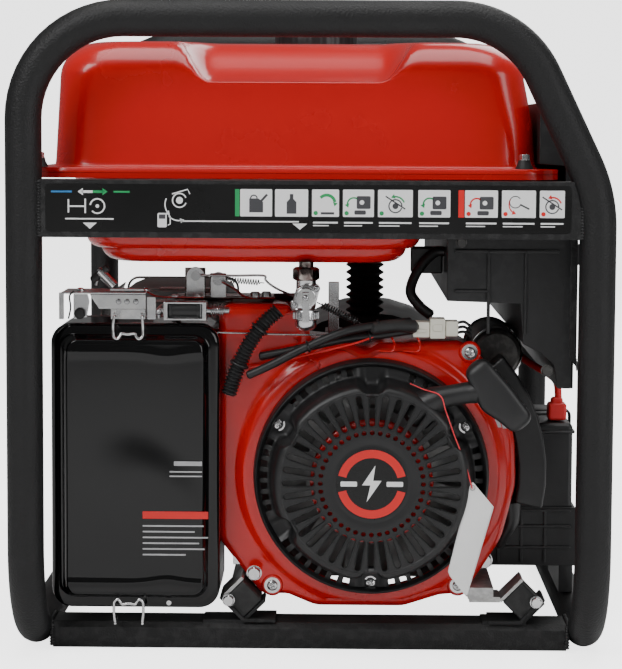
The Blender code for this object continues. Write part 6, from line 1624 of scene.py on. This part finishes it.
# ---- engine mounts ----
def mounts():
    """Square rubber blocks set on edge between folded steel cradles, with a bolt through each."""
    for node_side in ("near", "far"):
        for hand in ("left", "right"):
            node = f"{node_side}_isolator_{hand}"
            low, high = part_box(node)
            softened(node, "rubber", bevel=0.0022, segments=3)
            x, z = (low.x + high.x) / 2, (low.z + high.z) / 2
            y0, y1 = low.y - 0.003, high.y + 0.003
            lean = 1 if hand == "left" else -1
            outline = np.array([(x - lean * 0.021, z + 0.002), (x - lean * 0.0185, z + 0.0045),
                    (x + lean * 0.0025, z - 0.017), (x + lean * 0.03, z - 0.017), (x + lean * 0.03, z - 0.02),
                     (x + lean * 0.001, z - 0.02)])
            if lean < 0:
                outline = outline[::-1]
            piece(f"{node_side}_cradle_{hand}", [plate(outline, y1 - y0, (0, y1, 0))], "frame_paint",
                  bevel=0.0006)
            stud = hex_bolt((x - lean * 0.0125, y0 - 0.0004, z + 0.0005), -Y_AXIS, 0.009)
            piece(f"{node_side}_mount_bolt_{hand}", stud, "zinc")


control_box_details()
battery_details()
mounts()


# ---- engine, alternator and muffler ----
def filler_grips(turn):
    """Radius of the filler cap by angle: eight shallow finger grips."""
    return 0.0128 + 0.0008 * np.cos(8 * turn)


def engine_block():
    """Cast crankcase and head with cooling fins, oil filler, drain bolt, studs and a plug lead."""
    softened("crankcase", "cast_alloy", bevel=0.003, segments=3)
    softened("cylinder_head", "cast_alloy", bevel=0.0018)
    softened("rocker_cover", "cast_alloy", bevel=0.004, segments=3)
    low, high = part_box("cylinder_head")
    fins = []
    for x in np.linspace(low.x + 0.006, high.x - 0.004, 12):
        outline = round_rectangle(low.y - 0.006, low.z - 0.005, high.y + 0.006, high.z + 0.0025, 0.008, 5)
        inner = round_rectangle(low.y + 0.002, low.z + 0.003, high.y - 0.002, high.z - 0.003, 0.006, 5)
        rows = [np.column_stack([np.full(len(side), x + shift), side]) for side,
                shift in ((outline, -0.001), (outline, 0.001), (inner, 0.001), (inner, -0.001))]
        fins.append((np.array(rows).reshape(-1, 3), grid_faces(4, len(outline), wrap_rows=True).tolist()))
    piece("cylinder_fins", fins, "cast_alloy")
    low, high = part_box("rocker_cover")
    bolts = []
    for y in (low.y + 0.016, high.y - 0.016):
        for z in (low.z + 0.016, high.z - 0.016):
            bolts += hex_bolt((low.x - 0.0005 + 0.006, y, z), -X_AXIS, 0.0095)
    piece("rocker_cover_bolts", bolts, "steel")
    filler = [(0.0, 0.026), (0.0125, 0.026), (0.0135, 0.0245), (0.0135, 0.012), (0.0105, 0.0105),
              (0.0105, 0.0), (0.0, 0.0)]
    piece("oil_filler_cap", lathe(filler, (0.16, -0.13, 0.085), X_AXIS, 64, filler_grips), "black_plastic")
    drain = hex_bolt((0.16, -0.23, 0.074), -Y_AXIS, 0.013) + hex_bolt((-0.05, -0.279, 0.07), -Y_AXIS, 0.011)
    piece("drain_bolts", drain, "zinc")
    piece("foot_plate", [block((-0.07, -0.26, 0.074), (-0.038, -0.258, 0.09))], "zinc", bevel=0.0006)
    plug = [(0.0, 0.0), (0.008, 0.0), (0.008, 0.006), (0.006, 0.0075), (0.006, 0.02), (0.0085, 0.0225),
            (0.0085, 0.04), (0.006, 0.043), (0.0, 0.043)]
    piece("plug_cap", lathe(plug, (-0.118, -0.175, 0.19), -Y_AXIS, 32), "rubber")
    lead = smooth_path([(-0.118, -0.215, 0.19), (-0.11, -0.196, 0.196), (-0.098, -0.179, 0.215),
            (-0.09, -0.176, 0.25), (-0.07, -0.175, 0.29), (-0.03, -0.176, 0.296)], 0.002)
    piece("plug_lead", tube(lead, 0.0036, 18), "rubber")
    softened("starter_motor", "dark_steel", bevel=0.002)
    low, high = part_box("starter_motor")
    end = [(0.0, 0.003), (0.019, 0.0026), (0.0215, 0.0), (0.0, 0.0)]
    piece("starter_end_cap", lathe(end, (0.172, low.y, 0.262), -Y_AXIS, 40), "dark_steel")
    bands = [[(0.172 + 0.0239 * math.cos(a), y, 0.262 + 0.0239 * math.sin(a))
              for a in np.arange(48) * TAU / 48] for y in (low.y + 0.012, high.y - 0.02)]
    piece("starter_bands", [tube(np.array(band), 0.0012, 8, closed=True) for band in bands], "steel")


ALT_X, ALT_Z, COVER_BACK = 0.055, 0.1585, 0.2403


def alternator():
    """End bell: a polar grid with three rings of open slots, a turned rim, and long through-bolts;
    the housing is the imported one with its edges rounded."""
    softened("alternator_housing", "cast_alloy", bevel=0.0022, ink="spring_steel")
    radius = np.array([0.0, 0.01, 0.018, 0.023, 0.025, 0.031, 0.035, 0.042, 0.044, 0.062, 0.066, 0.085, 0.09,
             0.096, 0.1005, 0.103, 0.104, 0.104])
    depth = np.array([0.046, 0.046, 0.0455, 0.043, 0.0425, 0.042, 0.042, 0.0418, 0.0418, 0.0405, 0.04, 0.037,
             0.036, 0.0335, 0.029, 0.023, 0.016, 0.001])
    angle = np.arange(240) * TAU / 240
    points = np.stack(np.broadcast_arrays(ALT_X + radius[:, None] * np.cos(angle), COVER_BACK
            + depth[:, None], ALT_Z + radius[:, None] * np.sin(angle)), -1)
    keep = np.ones((17, 240), bool)
    column = np.arange(240)
    keep[6:7, :] = ~((column % 20 > 4) & (column % 20 < 14))
    keep[8:9, :] = column % 6 > 2
    keep[10:11, :] = column % 5 > 2
    keep[15:16, :] = column % 8 > 3
    piece("alternator_end_bell", (points.reshape(-1, 3), grid_faces(18, 240, keep=keep).tolist()),
           "cast_alloy", replaces=("alternator_cover",), thickness=0.0022, sharp=45.0)
    bolts, rods = [], []
    for turn in np.radians([45, 135, 225, 315]):
        x, z = ALT_X + 0.0975 * math.cos(turn), ALT_Z + 0.0975 * math.sin(turn)
        bolts += hex_bolt((x, COVER_BACK + 0.033, z), Y_AXIS, 0.011)
        rods.append(lathe([(0.0, 0.0), (0.0085, 0.0), (0.0095, 0.032), (0.0, 0.033)], (x, COVER_BACK, z),
                 Y_AXIS, 28))
    for turn in np.radians([0, 90, 180, 270]):
        x, z = ALT_X + 0.0205 * math.cos(turn), ALT_Z + 0.0205 * math.sin(turn)
        bolts += hex_bolt((x, COVER_BACK + 0.044, z), Y_AXIS, 0.006)
    piece("alternator_bolts", bolts, "zinc")
    piece("alternator_bolt_bosses", rods, "cast_alloy")


def muffler_details():
    """Welded silencer with rounded ends and seams, a slotted heat shield on its outer side and a weld round
    the tail pipe.
    """
    softened("muffler", "dark_steel", bevel=0.006, segments=4)
    low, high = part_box("muffler")
    rows, columns = 31, 61
    z = np.linspace(0.156, 0.296, rows)
    y = np.linspace(0.042, 0.262, columns)
    bow = 0.005 * (1 - np.abs(np.linspace(-1, 1, rows)) ** 6)
    x = low.x - 0.0055 - bow[:, None] + 0 * y[None, :]
    points = np.stack([x, np.broadcast_to(y, x.shape), np.broadcast_to(z[:, None], x.shape)], -1)
    row, column = np.arange(rows - 1)[:, None], np.arange(columns - 1)[None, :]
    inside = (row > 3) & (row < rows - 5) & (column > 4) & (column < columns - 5)
    keep = ~(inside & (row % 4 >= 2) & (column % 10 > 2))
    sheet = (points.reshape(-1, 3), grid_faces(rows, columns, wrap_columns=False, keep=keep).tolist())
    piece("muffler_heat_shield", sheet, "dark_zinc", thickness=0.0012)
    screws = []
    for y_at in (0.055, 0.249):
        for z_at in (0.165, 0.287):
            screws += hex_bolt((low.x - 0.0085, y_at, z_at), -X_AXIS, 0.009)
    piece("shield_bolts", screws, "zinc")
    angle = np.arange(72) * TAU / 72
    seam = []
    for y_at in (0.056, 0.248):
        path = bent_path([(low.x - 0.0004, y_at, low.z - 0.0004), (high.x + 0.0004, y_at, low.z - 0.0004),
                (high.x + 0.0004, y_at, high.z + 0.0004), (low.x - 0.0004, y_at, high.z + 0.0004)],
                [0.012] * 4, 6, closed=True)
        seam.append(tube(path, 0.0014, 10, closed=True))
    piece("muffler_seams", seam, "dark_steel")
    ring = np.array([(-0.15 + 0.016 * math.cos(a), 0.27, 0.262 + 0.016 * math.sin(a)) for a in angle])
    piece("tail_pipe_weld", tube(ring, 0.002, 10, closed=True), "dark_steel")


def flywheel():
    """Fan wheel: the cast wheel with its edges rounded; the reel behind the slots is turned red metal."""
    softened("flywheel_fan", "cast_alloy", "engine_shaft", bevel=0.001)
    softened("crankshaft", "steel", "engine_shaft", bevel=0.0008)
    softened("alternator_rotor", "winding_steel", "engine_shaft", bevel=0.0015)
    softened("recoil_reel", "red_paint", "recoil_reel", bevel=0.0012)
    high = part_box("alternator_rotor")[1]
    turns = [tube(np.array([(ALT_X + r * math.cos(a), high.y + 0.002, ALT_Z + r * math.sin(a))
            for a in np.arange(48) * TAU / 48]), 0.0016, 8, closed=True)
             for r in np.linspace(0.04, 0.074, 10)]
    piece("rotor_windings", turns, "winding_steel", "engine_shaft", ink=None)
    softened("fuel_strainer", "white_nylon", bevel=0.0008)
    softened("filter_element", "foam", bevel=0.004)


engine_block()
alternator()
muffler_details()
flywheel()


# ---- end ----
for node in NODES.values():
    if not node.hide_render and node.name in SLOT_OF:
        node.data.materials.clear()
        node.data.materials.append(FINISH[SLOT_OF[node.name]])

bpy.context.view_layer.update()
